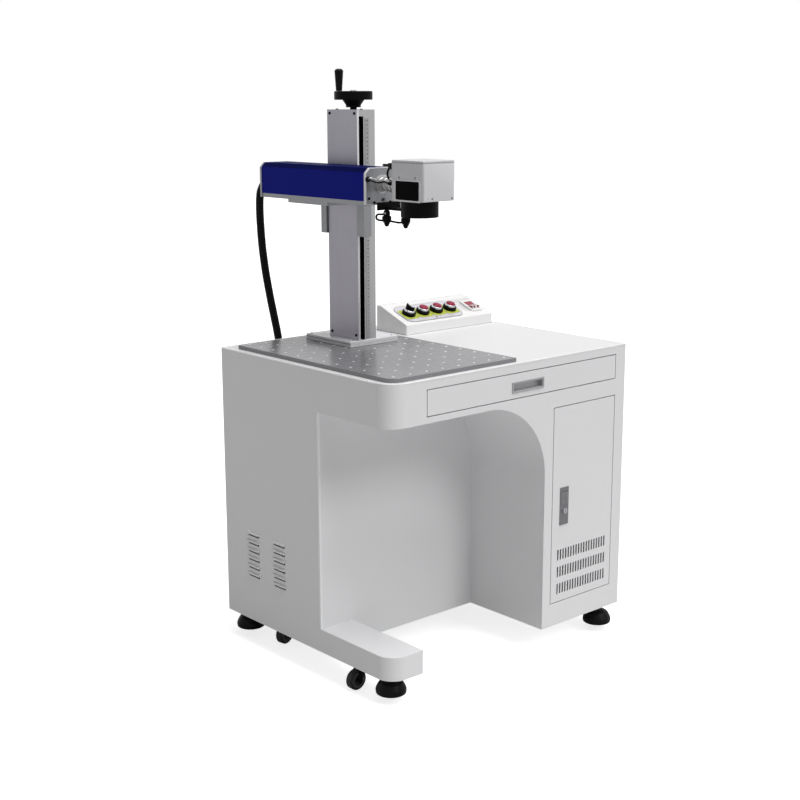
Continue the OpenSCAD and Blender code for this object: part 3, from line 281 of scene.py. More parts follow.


# skin holds the effect's own values, relief is in millimetres, paintedEdge is the edge colour and its
# width, painted lighter as highlight and darker as shade
finishes = {
    "paintSkin": {  # pebbles to the metre, gloss, drift
        "cabinetPaint": dict(colour=(0.78, 0.78, 0.79), skin=(650, 0.42, 0.03), relief=0.08, coat=0.08,
                             paintedEdge=(0.92, 1.4)),
        "consolePaint": dict(colour=(0.86, 0.85, 0.845), skin=(800, 0.36, 0.02), relief=0.06, coat=0.1,
                             paintedEdge=((0.93, 0.92, 0.91), 1.2)),
        "headPaint": dict(colour=(0.60, 0.60, 0.62), skin=(900, 0.40, 0.03), relief=0.06,
                          paintedEdge=((0.85, 0.85, 0.86), 1.0)),
        "frontPaint": dict(colour=(0.68, 0.68, 0.70), skin=(900, 0.38, 0.03), relief=0.06, paintedEdge=(0.9, 1.0)),
        # lighter than the cabinet paint: painted highlight on its edges
        "highlightPaint": dict(colour=(0.88, 0.88, 0.885), skin=(700, 0.34, 0.02), relief=0.05, coat=0.15),
        # grey for painted shade lines: under the head's lid and round the console
        "paintedShadeGrey": dict(colour=(0.42, 0.42, 0.44), skin=(700, 0.5, 0.02), relief=0.05),
        "armBlue": dict(colour=(0.006, 0.011, 0.235), skin=(900, 0.5, 0.1), relief=0.04, specular=0.04,
                        paintedEdge=((0.02, 0.03, 0.34), 0.9)),
        # the top of the arm in a much darker blue: painted shade
        "armTopPaintedShade": dict(colour=(0.002, 0.004, 0.06), skin=(900, 0.5, 0.1), relief=0.04, specular=0.01,
                         paintedEdge=((0.01, 0.015, 0.2), 0.9))},
    "brushMarks": {  # strokes to the metre along X, Y and Z, gloss, streak, cloud
        "footMetal": dict(colour=(0.72, 0.71, 0.73), skin=((700, 700, 9), 0.36, 0.15, 0.12), relief=0.03,
                          metallic=0.15, paintedEdge=(0.9, 1.0)),
        "columnMetal": dict(colour=(0.44, 0.44, 0.445), skin=((700, 700, 9), 0.38, 0.2, 0.12),
                            relief=0.03, metallic=0.5, paintedEdge=((0.62, 0.62, 0.63), 0.8)),
        "frameMetal": dict(colour=(0.27, 0.275, 0.285), skin=((60, 500, 60), 0.36, 0.15, 0.1),
                           relief=0.03, metallic=0.5, paintedEdge=((0.5, 0.5, 0.51), 0.8)),
        "coverMetal": dict(colour=(0.37, 0.358, 0.40), skin=((700, 700, 7), 0.34, 0.28, 0.2),
                           relief=0.03, metallic=0.55, paintedEdge=((0.6, 0.6, 0.63), 0.8)),
        # bright metal, painted highlight: the glints at the plate's holes and on the cover's edge
        "highlightMetal": dict(colour=(0.70, 0.70, 0.71), skin=((300, 300, 12), 0.3, 0.1, 0.08),
                            relief=0.02, metallic=0.4),
        "plateMetal": dict(colour=(0.255, 0.25, 0.263), skin=((14, 800, 800), 0.27, 0.08, 0.2),
                           relief=0.008, metallic=0.25, specular=0.08, paintedEdge=(0.62, 1.0)),
        "castMetal": dict(colour=(0.27, 0.28, 0.295), skin=((60, 500, 60), 0.32, 0.2, 0.3), relief=0.04,
                          metallic=0.6, paintedEdge=(0.75, 0.8)),
        "tubeMetal": dict(colour=(0.44, 0.44, 0.43), skin=((40, 600, 40), 0.34, 0.15, 0.12), relief=0.02,
                          metallic=0.85),
        "zincSteel": dict(colour=(0.46, 0.47, 0.49), skin=((120, 120, 120), 0.30, 0.25, 0.2),
                          relief=0.03, metallic=0.85),
        "chrome": dict(colour=(0.62, 0.62, 0.64), skin=((40, 40, 40), 0.10, 0.05, 0.05), relief=0.01,
                       metallic=1.0),
        "panelSteel": dict(colour=(0.66, 0.64, 0.69), skin=((12, 900, 900), 0.34, 0.14, 0.08),
                           relief=0.02, metallic=0.25, paintedEdge=((0.3, 0.3, 0.32), 0.8)),
        "latchSteel": dict(colour=(0.19, 0.19, 0.20), skin=((600, 600, 20), 0.33, 0.3, 0.25),
                           relief=0.04, metallic=0.6, paintedEdge=((0.4, 0.4, 0.42), 0.7)),
        "pullSteel": dict(colour=(0.40, 0.40, 0.41), skin=((14, 500, 500), 0.36, 0.25, 0.15),
                          relief=0.04, metallic=0.4, paintedEdge=((0.55, 0.55, 0.56), 0.7)),
        "mirrorCoat": dict(colour=(0.86, 0.80, 0.62), skin=((30, 30, 30), 0.06, 0.03, 0.03), relief=0.01,
                           metallic=1.0),
        "rulerFace": dict(colour=(0.36, 0.36, 0.365), skin=((900, 900, 10), 0.36, 0.12, 0.06),
                          relief=0.01, metallic=0.45),
        "wireSilver": dict(colour=(0.60, 0.60, 0.62), skin=((300, 300, 300), 0.3, 0.3, 0.2), relief=0.05,
                           metallic=0.8),
        "pinBrass": dict(colour=(0.66, 0.50, 0.22), skin=((300, 20, 300), 0.25, 0.1, 0.1), relief=0.01,
                         metallic=1.0)},
    "mouldGrain": {  # grains to the metre, gloss, mottle
        "capGrey": dict(colour=(0.05, 0.05, 0.052), skin=(900, 0.3, 0.3), relief=0.04, specular=0.35),
        "blackMetal": dict(colour=(0.0032, 0.003, 0.003), skin=(1800, 0.42, 0.4), relief=0.05,
                           dust=0.012, specular=0.05, paintedEdge=((0.025, 0.025, 0.026), 0.8)),
        "blackPlastic": dict(colour=0.0035, skin=(1400, 0.40, 0.3), relief=0.06, dust=0.012,
                             specular=0.08, paintedEdge=((0.018, 0.018, 0.019), 0.8)),
        "blackRubber": dict(colour=0.004, skin=(1100, 0.6, 0.5), relief=0.1, dust=0.02, specular=0.08),
        # near black for slots and hollows: painted shade
        "recessShadeBlack": dict(colour=(0.003, 0.003, 0.004), skin=(900, 0.8, 0.2), relief=0.05,
                          specular=0.05),
        "buttonRed": dict(colour=(0.27, 0.008, 0.038), skin=(700, 0.3, 0.25), relief=0.02, coat=0.05,
                          specular=0.15, paintedEdge=((0.12, 0.004, 0.02), 1.2)),
        "rockerRed": dict(colour=(0.30, 0.006, 0.035), skin=(700, 0.28, 0.15), relief=0.02, coat=0.15,
                          specular=0.3),
        "prongRed": dict(colour=(0.17, 0.003, 0.016), skin=(700, 0.35, 0.15), relief=0.02, specular=0.3),
        "legendLime": dict(colour=(0.46, 0.52, 0.045), skin=(900, 0.38, 0.12), relief=0.03, coat=0.1,
                           specular=0.35, paintedEdge=((0.62, 0.68, 0.08), 0.8)),
        "whitePlastic": dict(colour=(0.84, 0.84, 0.83), skin=(900, 0.3, 0.04), relief=0.03, coat=0.2),
        "windowBlack": dict(colour=(0.0008, 0.0008, 0.001), skin=(500, 0.3, 0.1), relief=0.01,
                            specular=0.02),
        "lensGlass": dict(colour=(0.012, 0.016, 0.03), skin=(400, 0.05, 0.05), relief=0.005, coat=1.0),
        "wheelTread": dict(colour=(0.012, 0.012, 0.013), skin=(900, 0.5, 0.5), relief=0.1, dust=0.08,
                           specular=0.2),
        "tickBlack": dict(colour=(0.03, 0.03, 0.035), skin=(2500, 0.5, 0.2), relief=0.01, specular=0.2)},
}
finish = {name: makeFinish(name, effect, **values)
          for effect, group in finishes.items() for name, values in group.items()}


print("Finishes on the packed parts")

partFinish = {
    "cabinetPaint": ["left_side", "front_panel", "kneehole_liner", "right_side", "back_panel",
                     "base_frame", "table_top", "drawer_front", "door_panel"],
    "consolePaint": ["console_housing"],
    "headPaint": ["scan_head"],
    "columnMetal": ["column_base", "column_channel", "column_cap"],
    "frameMetal": ["support_plate", "arm_rail", "carriage"],
    "coverMetal": ["column_cover"],
    "plateMetal": ["work_plate"],
    "castMetal": ["arm_end_plates", "adapter_tube"],
    "zincSteel": ["drawer_box", "drawer_runners", "control_computer", "guide_rods", "galvo_motors",
                  "lock_button"],
    "armBlue": ["arm_body"],
    "blackMetal": ["handwheel", "lead_screw", "laser_source", "lens", "pointer_bracket", "pointer_rear",
                   "pointer_front", *("caster_fork_" + corner for corner in corners)],
    "blackPlastic": ["handwheel_grip", "rear_connectors", "switch_bodies", "selector_knob",
                     "levelling_feet"],
    "blackRubber": ["signal_leads", "conduit"],
    "buttonRed": ["button_left", "button_middle", "button_right"],
    "rockerRed": ["rocker_switch"],
    "panelSteel": ["control_plate"],
    "latchSteel": ["door_lock", "door_handle"],
    "pullSteel": ["drawer_pull"],
    "mirrorCoat": ["galvo_mirror_x", "galvo_mirror_y"],
    "wheelTread": ["caster_wheel_" + corner for corner in corners],
}
for finishName, names in partFinish.items():
    for name in names:
        nodes[name].data.materials.clear()
        nodes[name].data.materials.append(finish[finishName])


def boxOf(name):
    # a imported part's lowest and highest corner in cabinet millimetres
    low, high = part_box(name)
    return np.array(low) * 1000.0 - cabinetCorner, np.array(high) * 1000.0 - cabinetCorner


def paintInside(name, finishName, lowest, highest):
    # faces whose middle lies inside the given box take another finish
    mesh = nodes[name].data
    mesh.materials.append(finish[finishName])
    middles = np.empty(len(mesh.polygons) * 3)
    mesh.polygons.foreach_get("center", middles)
    middles = middles.reshape(-1, 3) * 1000.0 - cabinetCorner
    inside = np.all((middles > lowest) & (middles < highest), axis=1)
    mesh.polygons.foreach_set("material_index", inside.astype(np.int32))
    mesh.update()


# the faces inside the column's channel take near black: painted shade in the slot, also on the rods and
# screw within it
columnInside = ((233.5, 382.0, 700.0), (283.0, 495.0, 1271.0))
for name in ("column_channel", "column_cover", "guide_rods", "lead_screw"):
    paintInside(name, "recessShadeBlack", *columnInside)
# the arm's top faces, down to shadedHeight below its crown, take the darker blue: painted shade on the top
shadedHeight = 22.0
armCrown = boxOf("arm_body")[1][2]
paintInside("arm_body", "armTopPaintedShade", (0.0, 0.0, armCrown - shadedHeight), (400.0, 700.0, armCrown + 1.0))


print("Shape tools")


def joinShapes(shapes):
    # several (points, faces) pairs as one, each set of faces moved past the points before it
    points, faces, count = [], [], 0
    for somePoints, someFaces in shapes:
        points.append(np.asarray(somePoints, float).reshape(-1, 3))
        faces += [[i + count for i in face] for face in someFaces]
        count += len(points[-1])
    return np.concatenate(points), faces


def quads(rows, columns, wrapRows=False):
    # index grid: each face joins a point to its neighbours along and, closing the row, across
    i = np.arange(rows if wrapRows else rows - 1)[:, None]
    j = np.arange(columns)[None, :]
    a = i * columns + j
    b = i * columns + (j + 1) % columns
    c = ((i + 1) % rows) * columns + (j + 1) % columns
    d = ((i + 1) % rows) * columns + j
    return np.stack([a, b, c, d], -1).reshape(-1, 4).tolist()


def capped(rows, columns):
    # the index grid with a flat face over its first and its last row
    first, last = list(range(columns)), list(range((rows - 1) * columns, rows * columns))
    return quads(rows, columns) + [first[::-1], last]


def softCorners(points, radius, closed=True, steps=4):
    # each corner becomes a parabola between two points that lie up to radius away along its sides
    points = np.asarray(points, float)
    radius = np.broadcast_to(np.asarray(radius, float), (len(points),))
    if closed:
        before, here, after, reach = np.roll(points, 1, 0), points, np.roll(points, -1, 0), radius
    else:
        before, here, after, reach = points[:-2], points[1:-1], points[2:], radius[1:-1]
    back, ahead = before - here, after - here
    backLength = np.linalg.norm(back, axis=1, keepdims=True)
    aheadLength = np.linalg.norm(ahead, axis=1, keepdims=True)
    reach = np.minimum(reach[:, None], 0.49 * np.minimum(backLength, aheadLength))
    start, end = here + back / backLength * reach, here + ahead / aheadLength * reach
    t = np.linspace(0.0, 1.0, steps + 1)[None, :, None]
    curve = (1 - t) ** 2 * start[:, None] + 2 * t * (1 - t) * here[:, None] + t ** 2 * end[:, None]
    curve = curve.reshape(-1, points.shape[1])
    return curve if closed else np.concatenate([points[:1], curve, points[-1:]])


def roundedBox(width, height, radius, steps=5):
    # loop of a rectangle about the origin with softened corners, counter-clockwise
    w, h = width / 2, height / 2
    return softCorners([[-w, -h], [w, -h], [w, h], [-w, h]], radius, steps=steps)


def turnOf(count):
    # angles of a full turn in equal steps
    return np.arange(count) * 2 * np.pi / count


def outwards(loop):
    # unit vectors square to the line between each point's neighbours
    along = np.roll(loop, -1, 0) - np.roll(loop, 1, 0)
    along /= np.linalg.norm(along, axis=1, keepdims=True)
    return np.stack([along[:, 1], -along[:, 0]], -1)


def edgeCurve(edge, steps):
    # a quarter circle of radius edge, as how far in and how far up it lies at each step
    turn = np.linspace(0.0, np.pi / 2, steps + 1)
    return edge * (1 - np.sin(turn)), edge * (1 - np.cos(turn))


def lifted(rings, heights):
    # flat loops raised to their heights: each point is (x, y, height of its loop)
    lift = np.broadcast_to(heights[:, None, None], (*rings.shape[:2], 1))
    return np.concatenate([rings, lift], -1).reshape(-1, 3)


def plate(loop, depth, edge, steps=3, bothEdges=True):
    # the loop carried from 0 to depth, drawn in by a quarter circle of radius edge at its rims
    inset, rise = edgeCurve(edge, steps)
    low = (inset, rise) if bothEdges else (np.zeros(1), np.zeros(1))
    insets = np.concatenate([low[0], inset[::-1]])
    heights = np.concatenate([low[1], depth - rise[::-1]])
    rings = loop[None] - insets[:, None, None] * outwards(loop)[None]
    return lifted(rings, heights), capped(*rings.shape[:2])


def slab(width, height, radius, depth, edge, cornerSteps=2, edgeSteps=2):
    # a rounded rectangle carried from 0 to depth
    return plate(roundedBox(width, height, radius, cornerSteps), depth, edge, edgeSteps)


def frameOf(outer, inner, depth, edge, steps=2):
    # between two loops of the same count: up the outer, over two quarter circles, down the inner
    inset, rise = edgeCurve(edge, steps)
    rings = np.stack([outer] + [outer - i * outwards(outer) for i in inset[::-1]]
                     + [inner + i * outwards(inner) for i in inset] + [inner])
    heights = np.concatenate([[0.0], depth - rise[::-1], depth - rise, [0.0]])
    return lifted(rings, heights), quads(*rings.shape[:2], wrapRows=True)


def lathe(profile, count=48, closed=False, flats=None):
    # the profile (radius, height) turned about the axis; where flats is true the ring is six-sided,
    # its radius scaled by cos 30 / cos(angle from the middle of the side)
    profile = np.asarray(profile, float)
    angle = turnOf(count)
    side = np.cos(np.pi / 6) / np.cos((angle + np.pi / 6) % (np.pi / 3) - np.pi / 6)
    scale = np.ones((len(profile), count)) if flats is None else np.where(flats[:, None], side, 1.0)
    x = profile[:, :1] * scale * np.cos(angle)
    y = profile[:, :1] * scale * np.sin(angle)
    z = np.broadcast_to(profile[:, 1:], x.shape)
    return np.stack([x, y, z], -1).reshape(-1, 3), quads(len(profile), count, wrapRows=closed)


def turnedRing(section, soft, count, steps=2):
    # a closed section with softened corners, turned about the axis
    return lathe(softCorners(section, soft, steps=steps), count, closed=True)


def sixSided(section, count=36, closed=True, roundUpTo=7.5):
    # a nut: the section turned, with six sides on every ring wider than roundUpTo
    return lathe(section, count, closed, flats=section[:, 0] > roundUpTo)


def tube(path, radius, count=12, hint=(0.0, 0.0, 1.0)):
    # a circle carried along the path, square to its direction; radius may change along it
    path = np.asarray(path, float)
    along = np.gradient(path, axis=0)
    along /= np.linalg.norm(along, axis=1, keepdims=True)
    side = np.cross(along, np.asarray(hint, float))
    side /= np.linalg.norm(side, axis=1, keepdims=True)
    above = np.cross(side, along)
    angle = turnOf(count)[None, :, None]
    radius = np.broadcast_to(np.asarray(radius, float), (len(path),))[:, None, None]
    points = path[:, None] + radius * (np.cos(angle) * side[:, None] + np.sin(angle) * above[:, None])
    return points.reshape(-1, 3), [face[::-1] for face in capped(len(path), count)]


def smoothPath(points, count):
    # cubic Hermite curve through the points, with slopes taken from their neighbours, in even steps
    points = np.asarray(points, float)
    distance = np.concatenate([[0], np.cumsum(np.linalg.norm(np.diff(points, axis=0), axis=1))])
    slope = np.gradient(points, distance, axis=0)
    s = np.linspace(0, distance[-1], count)
    k = np.clip(np.searchsorted(distance, s, side="right") - 1, 0, len(points) - 2)
    span = (distance[k + 1] - distance[k])[:, None]
    t = (s[:, None] - distance[k][:, None]) / span
    a, b = points[k], points[k + 1]
    return ((2 * t**3 - 3 * t**2 + 1) * a + (t**3 - 2 * t**2 + t) * span * slope[k]
            + (-2 * t**3 + 3 * t**2) * b + (t**3 - t**2) * span * slope[k + 1])


facings = {  # where the three drawn axes point: across, up the face, and out of it
    "up": ((1, 0, 0), (0, 1, 0), (0, 0, 1)), "down": ((1, 0, 0), (0, -1, 0), (0, 0, -1)),
    "front": ((1, 0, 0), (0, 0, 1), (0, -1, 0)), "back": ((-1, 0, 0), (0, 0, 1), (0, 1, 0)),
    "left": ((0, -1, 0), (0, 0, 1), (-1, 0, 0)), "right": ((0, 1, 0), (0, 0, 1), (1, 0, 0)),
}


def aim(shape, facing, origin):
    # turns a shape drawn flat so that it faces a side, then carries it to its origin
    points, faces = shape
    axes = np.array(facings[facing], float)
    return np.asarray(points) @ axes + np.asarray(origin, float), faces


def copies(shape, facing, places):
    # the same shape set at each place
    return joinShapes([aim(shape, facing, place) for place in places])


def capScrew(radius, height):
    # socket head: a turned head whose inner rings follow a hexagon
    socket, depth, soft = 0.52 * radius, 0.6 * height, 0.12 * radius
    profile = np.array([(0, 0), (radius, 0), (radius, height - soft), (radius - soft, height),
                        (socket + soft, height), (socket, height - soft), (socket, height - depth),
                        (0, height - depth)])
    return lathe(profile, 24, flats=profile[:, 0] == socket)


def panScrew(radius, height):
    # domed head, an arc of an ellipse, with a small dimple at its centre
    t = np.linspace(0.0, 1.0, 5) * np.pi / 2
    dome = np.stack([radius * np.cos(t * 0.86), height * (0.35 + 0.65 * np.sin(t))], -1)
    dimple = [[0.13 * radius, 0.7 * height], [0, 0.55 * height]]
    return lathe(np.concatenate([[[0, 0], [radius, 0]], dome, dimple]), 20)


def linkMesh(name, mesh, finishName, sharpFrom):
    # an object for the mesh, smooth but for the edges that turn more than sharpFrom degrees
    mesh.materials.clear()
    mesh.materials.append(finish[finishName])
    mesh.shade_smooth()
    mesh.set_sharp_from_angle(angle=np.radians(sharpFrom))
    piece = bpy.data.objects.new(name, mesh)
    bpy.context.scene.collection.objects.link(piece)
    return piece


def addPiece(name, shape, finishName, body="cabinet", smooth=32.0, replaced=(),
             ridesNow=True):
    # points in cabinet millimetres become a mesh in metres, with its doubled points merged
    points, faces = shape
    mesh = bpy.data.meshes.new(name)
    mesh.from_pydata(((points + cabinetCorner) / 1000.0).tolist(), [], faces)
    shaped = bmesh.new()
    shaped.from_mesh(mesh)
    bmesh.ops.remove_doubles(shaped, verts=shaped.verts, dist=1e-6)
    bmesh.ops.dissolve_degenerate(shaped, dist=1e-7, edges=shaped.edges)
    shaped.to_mesh(mesh)
    shaped.free()
    piece = linkMesh(name, mesh, finishName, smooth)
    if ridesNow:
        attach(piece, body)
    if replaced:
        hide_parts(*replaced)
    return piece


def softened(name, finishName, width, keep, segments=2):
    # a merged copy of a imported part, its triangles joined into faces and the kept edges rounded
    shaped = bmesh.new()
    shaped.from_mesh(nodes[name].data)
    bmesh.ops.remove_doubles(shaped, verts=shaped.verts, dist=2e-6)
    bmesh.ops.dissolve_limit(shaped, angle_limit=np.radians(0.5), verts=shaped.verts,
                             edges=shaped.edges)
    mesh = bpy.data.meshes.new(name + "_soft")
    shaped.to_mesh(mesh)
    shaped.free()
    piece = linkMesh(name + "_soft", mesh, finishName, 40.0)
    rounding = piece.modifiers.new("rounding", "BEVEL")
    rounding.width = width / 1000.0
    rounding.segments = segments
    rounding.harden_normals = True
    rounding.limit_method = "WEIGHT"
    ends = np.empty(len(mesh.edges) * 2, np.int32)
    mesh.edges.foreach_get("vertices", ends)
    places = np.empty(len(mesh.vertices) * 3)
    mesh.vertices.foreach_get("co", places)
    places = places.reshape(-1, 3) * 1000.0 - cabinetCorner
    a, b = places[ends[0::2]], places[ends[1::2]]
    weights = mesh.attributes.new("bevel_weight_edge", "FLOAT", "EDGE")
    weights.data.foreach_set("value", keep(a, b).astype(np.float32))
    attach(piece, nodes[name]["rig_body"])
    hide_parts(name)


def boxEdges(low, high, reach=0.3):
    # keeps the edges whose two ends share two of the box's outer planes

    def keep(a, b):
        onLow = (np.abs(a - low) < reach) & (np.abs(b - low) < reach)
        onHigh = (np.abs(a - high) < reach) & (np.abs(b - high) < reach)
        return (onLow | onHigh).sum(axis=1) >= 2

    return keep


def addScrews(name, head, facing, xs, ys, zs, finishName="blackMetal", body="cabinet"):
    # one head at every mix of the given places
    places = [(x, y, z) for x in xs for y in ys for z in zs]
    addPiece(name, copies(head, facing, places), finishName, body)


print("Conduit")

conduit = {
    "radius": 10.5, "ridge": 0.9, "sharpness": 1.6, "pitch": 4.2, "around": 20, "stepsPerRidge": 4,
    "route": [
        [176, 650, 1112], [176, 660, 1112], [176, 672, 1110.5], [175.5, 684, 1106], [175, 694, 1098],
        [174, 701.5, 1088], [173, 706.5, 1076], [172, 708, 1063], [171, 708, 1045],
        [170, 706.5, 1020], [169.5, 704, 990], [169.5, 701.5, 960], [170.5, 699, 930],
        [173, 697, 900], [176, 695, 870], [180, 691.5, 835], [184.5, 688, 800], [189, 684.5, 768],
        [193.5, 681.5, 738], [198, 680, 712], [202, 680.5, 690], [205, 683, 668],
        [206.5, 688, 645], [207.5, 695, 620], [208, 702, 595], [208, 707.5, 570], [208, 710, 546],
        [208, 708.5, 534], [208, 704, 523], [208, 696.5, 513.5], [208, 687, 506],
        [208, 676, 501.5], [208, 664, 500], [208, 656, 500]],
}


def addConduit(c):
    # corrugated hose: radius - ridge x (0.5 - 0.5 cos phase) to the power sharpness, along the route
    route = np.array(c["route"], float)
    length = np.linalg.norm(np.diff(route, axis=0), axis=1).sum()
    count = int(length / c["pitch"] * c["stepsPerRidge"])
    path = smoothPath(route, count)
    walked = np.linalg.norm(np.diff(path, axis=0), axis=1).sum()
    phase = np.linspace(0, walked / c["pitch"], count) * 2 * np.pi
    radius = c["radius"] - c["ridge"] * (0.5 - 0.5 * np.cos(phase)) ** c["sharpness"]
    piece = addPiece("conduitHose", tube(path, radius, c["around"], hint=(1, 0, 0)), "blackRubber",
                     smooth=60.0, replaced=("conduit",), ridesNow=False)
    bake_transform(piece)
    print("  hose length", round(walked), "mm")


addConduit(conduit)


print("Stage and lights")

studio = {"floorHalf": 14.0, "floorTone": 0.64, "floorLift": 0.78, "floorShine": 0.25, "fill": 0.185,
          "suns": {"keySun": {"strength": 2.22, "softness": 40.0, "comesFrom": (0.10, -0.26, 0.94)},
                   "frontSun": {"strength": 0.80, "softness": 20.0, "comesFrom": (0.12, -0.78, 0.62)}}}


def whenSeen(tree, shine):
    # 1 for the camera and for what is seen through glass, shine for reflections, 0 for light
    rays = addNode(tree, "ShaderNodeLightPath").outputs
    mirrored = reckon(tree, "MULTIPLY", rays["Is Glossy Ray"], shine)
    first = reckon(tree, "MAXIMUM", rays["Is Camera Ray"], mirrored)
    return reckon(tree, "MAXIMUM", first, rays["Is Transmission Ray"])


def addSun(name, values):
    # a distant lamp whose light travels against comesFrom
    lamp = bpy.data.lights.new(name, "SUN")
    lamp.energy = values["strength"]
    lamp.angle = np.radians(values["softness"])
    away = np.array(values["comesFrom"], float)
    away /= np.linalg.norm(away)
    side = np.cross((0.0, 1.0, 0.0), away)
    side /= np.linalg.norm(side)
    standUp(name, lamp, side, np.cross(away, side), away)


def addStage(s):
    # a square floor, lit and also glowing where it is seen, in an even white world
    h = s["floorHalf"]
    mesh = bpy.data.meshes.new("floor")
    mesh.from_pydata([(-h, -h, 0), (h, -h, 0), (h, h, 0), (-h, h, 0)], [], [(0, 1, 2, 3)])
    floor = bpy.data.objects.new("floor", mesh)
    bpy.context.scene.collection.objects.link(floor)
    material = bpy.data.materials.new("paleFloor")
    mesh.materials.append(material)
    tree = emptyTree(material)
    matt = addNode(tree, "ShaderNodeBsdfDiffuse", {"Color": shade(s["floorTone"])})
    strength = reckon(tree, "MULTIPLY", whenSeen(tree, s["floorShine"]), s["floorLift"])
    lift = addNode(tree, "ShaderNodeEmission", {"Strength": strength})
    both = addNode(tree, "ShaderNodeAddShader", {0: matt.outputs[0], 1: lift.outputs[0]})
    addNode(tree, "ShaderNodeOutputMaterial", {"Surface": both.outputs[0]})

    world = bpy.data.worlds.new("studio")
    bpy.context.scene.world = world
    tree = emptyTree(world)
    level = addNode(tree, "ShaderNodeMix", {"Factor": whenSeen(tree, 1.0), "A": s["fill"], "B": 1.0},
                    data_type="FLOAT")
    sky = addNode(tree, "ShaderNodeBackground", {"Color": shade(1.0), "Strength": level.outputs[0]})
    addNode(tree, "ShaderNodeOutputWorld", {"Surface": sky.outputs[0]})

    for name, values in s["suns"].items():
        addSun(name, values)
    bpy.context.scene.view_settings.view_transform = "Standard"


addStage(studio)


print("Cabinet trim")

cabinetTrim = {"edgeRound": 2.2, "edgeSink": 1.4, "cornerReach": 1.35, "squareCorner": 3.0,
               "foldWidth": 6.5, "foldRound": 2.2, "foldEdge": 0.3, "foldProud": 0.5,
               "foldFrom": 58.5, "foldTo": 597.5, "kneeDepth": 258.0,
               "screwRadius": 4.0, "screwHeight": 2.0, "screwsAcross": (18, 270, 530, 782),
               "screwsUp": (18, 350, 682)}


def closedRail(loop, height, section):
    # a closed section (out, up) carried round a level loop
    out = outwards(loop)
    points = np.concatenate([
        loop[:, None] + section[None, :, :1] * out[:, None],
        np.broadcast_to(height + section[None, :, 1:], (len(loop), len(section), 1))], -1)
    faces = [face[::-1] for face in quads(len(loop), len(section), wrapRows=True)]
    return points.reshape(-1, 3), faces


def addCabinetTrim(t):
    # table edge: a small round section carried round the lid's outline; fold: a rounded upright strip;
    # both in a lighter paint, a painted highlight
    width, depth, square = machine["width"], machine["depth"], t["squareCorner"]
    outline = softCorners([[0, 0], [width, 0], [width, depth], [0, depth]],
                          [machine["cornerRound"] * t["cornerReach"], square, square, square], steps=14)
    angle = turnOf(16)
    section = t["edgeRound"] * np.stack([np.cos(angle), np.sin(angle)], -1) - t["edgeSink"]
    addPiece("tableEdgeHighlight", closedRail(outline, machine["height"], section), "highlightPaint")
    strip = slab(t["foldWidth"], t["foldWidth"], t["foldRound"], t["foldTo"] - t["foldFrom"],
                 t["foldEdge"], 5, 1)
    middle = t["foldWidth"] / 2 - t["foldProud"]
    addPiece("kneeholeFoldHighlight", aim(strip, "up", (middle, t["kneeDepth"] + middle, t["foldFrom"])),
             "highlightPaint")
    addScrews("backPanelScrews", panScrew(t["screwRadius"], t["screwHeight"]), "back",
              t["screwsAcross"], [depth], t["screwsUp"], "zincSteel")


addCabinetTrim(cabinetTrim)


print("Drawer pull, latch and rear connectors")

fittings = {"pullRim": 2.6, "pullProud": 1.1, "pullRounds": (2.6, 2.4), "pullEdge": 0.5,
            "ribs": 5, "ribWidth": 1.3, "ribProud": 0.8, "ribEnd": 4.0, "ribSide": 3.0, "ribRound": 0.5,
            "keyWidth": 1.6, "keyLength": 7.0, "keyProud": 0.25, "keyRound": 0.6,
            "pinWidth": 1.6, "pinHeight": 6.0, "pinLength": 10.0,
            "pins": [(693, 637.5, 90), (700, 637.5, 93), (707, 637.5, 90)],
            "nut": [(11.6, 0), (21.0, 0), (21.0, 7.0), (11.6, 7.0)], "nutRound": 1.2,
            "nutPlace": (208, 650.3, 500)}


def frontOf(name):
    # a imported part's width and height, and the middle of its front face
    low, high = boxOf(name)
    middle = (low + high) / 2
    return high[0] - low[0], high[2] - low[2], (middle[0], low[1] + sunk, middle[2])


def addFittings(f):
    # rims and ribs are outlines carried outwards from the faces that hold them
    width, height, middle = frontOf("drawer_pull")
    rim, (outerRound, innerRound) = 2 * f["pullRim"], f["pullRounds"]
    shape = frameOf(roundedBox(width, height, outerRound),
                    roundedBox(width - rim, height - rim, innerRound), f["pullProud"], f["pullEdge"])
    addPiece("pullRim", aim(shape, "front", middle), "pullSteel", "drawer")
    width, height, (x, y, z) = frontOf("door_handle")
    reach = width / 2 - f["ribSide"]
    rib = slab(f["ribWidth"], height - 2 * f["ribEnd"], f["ribRound"], f["ribProud"], 0.3)
    places = [(x + away, y, z) for away in np.linspace(-reach, reach, f["ribs"])]
    addPiece("leverRibs", copies(rib, "front", places), "pullSteel", "latch_lever")
    key = slab(f["keyWidth"], f["keyLength"], f["keyRound"], f["keyProud"], 0.08, edgeSteps=1)
    # a near-black slab on the button for the key slot: painted shade
    addPiece("keySlot", aim(key, "front", frontOf("lock_button")[2]), "recessShadeBlack", "latch_button")
    pin = slab(f["pinWidth"], f["pinHeight"], 0.5, f["pinLength"], 0.4)
    addPiece("inletPins", copies(pin, "back", f["pins"]), "pinBrass")
    nut = sixSided(softCorners(f["nut"], f["nutRound"], steps=2))
    addPiece("hoseNut", aim(nut, "back", f["nutPlace"]), "blackPlastic")


addFittings(fittings)


print("Work plate")

workPlate = {"left": 43, "front": 37, "top": 710.0, "pitch": 50, "columns": 8, "rows": 12, "sides": 12,
             "keepClear": (198, 358, 376, 560),
             "cup": [(0, -1.4), (3.5, -0.5), (3.5, 0.0), (3.2, 0.2), (2.0, 0.1), (1.5, -0.5), (0, -0.6)]}


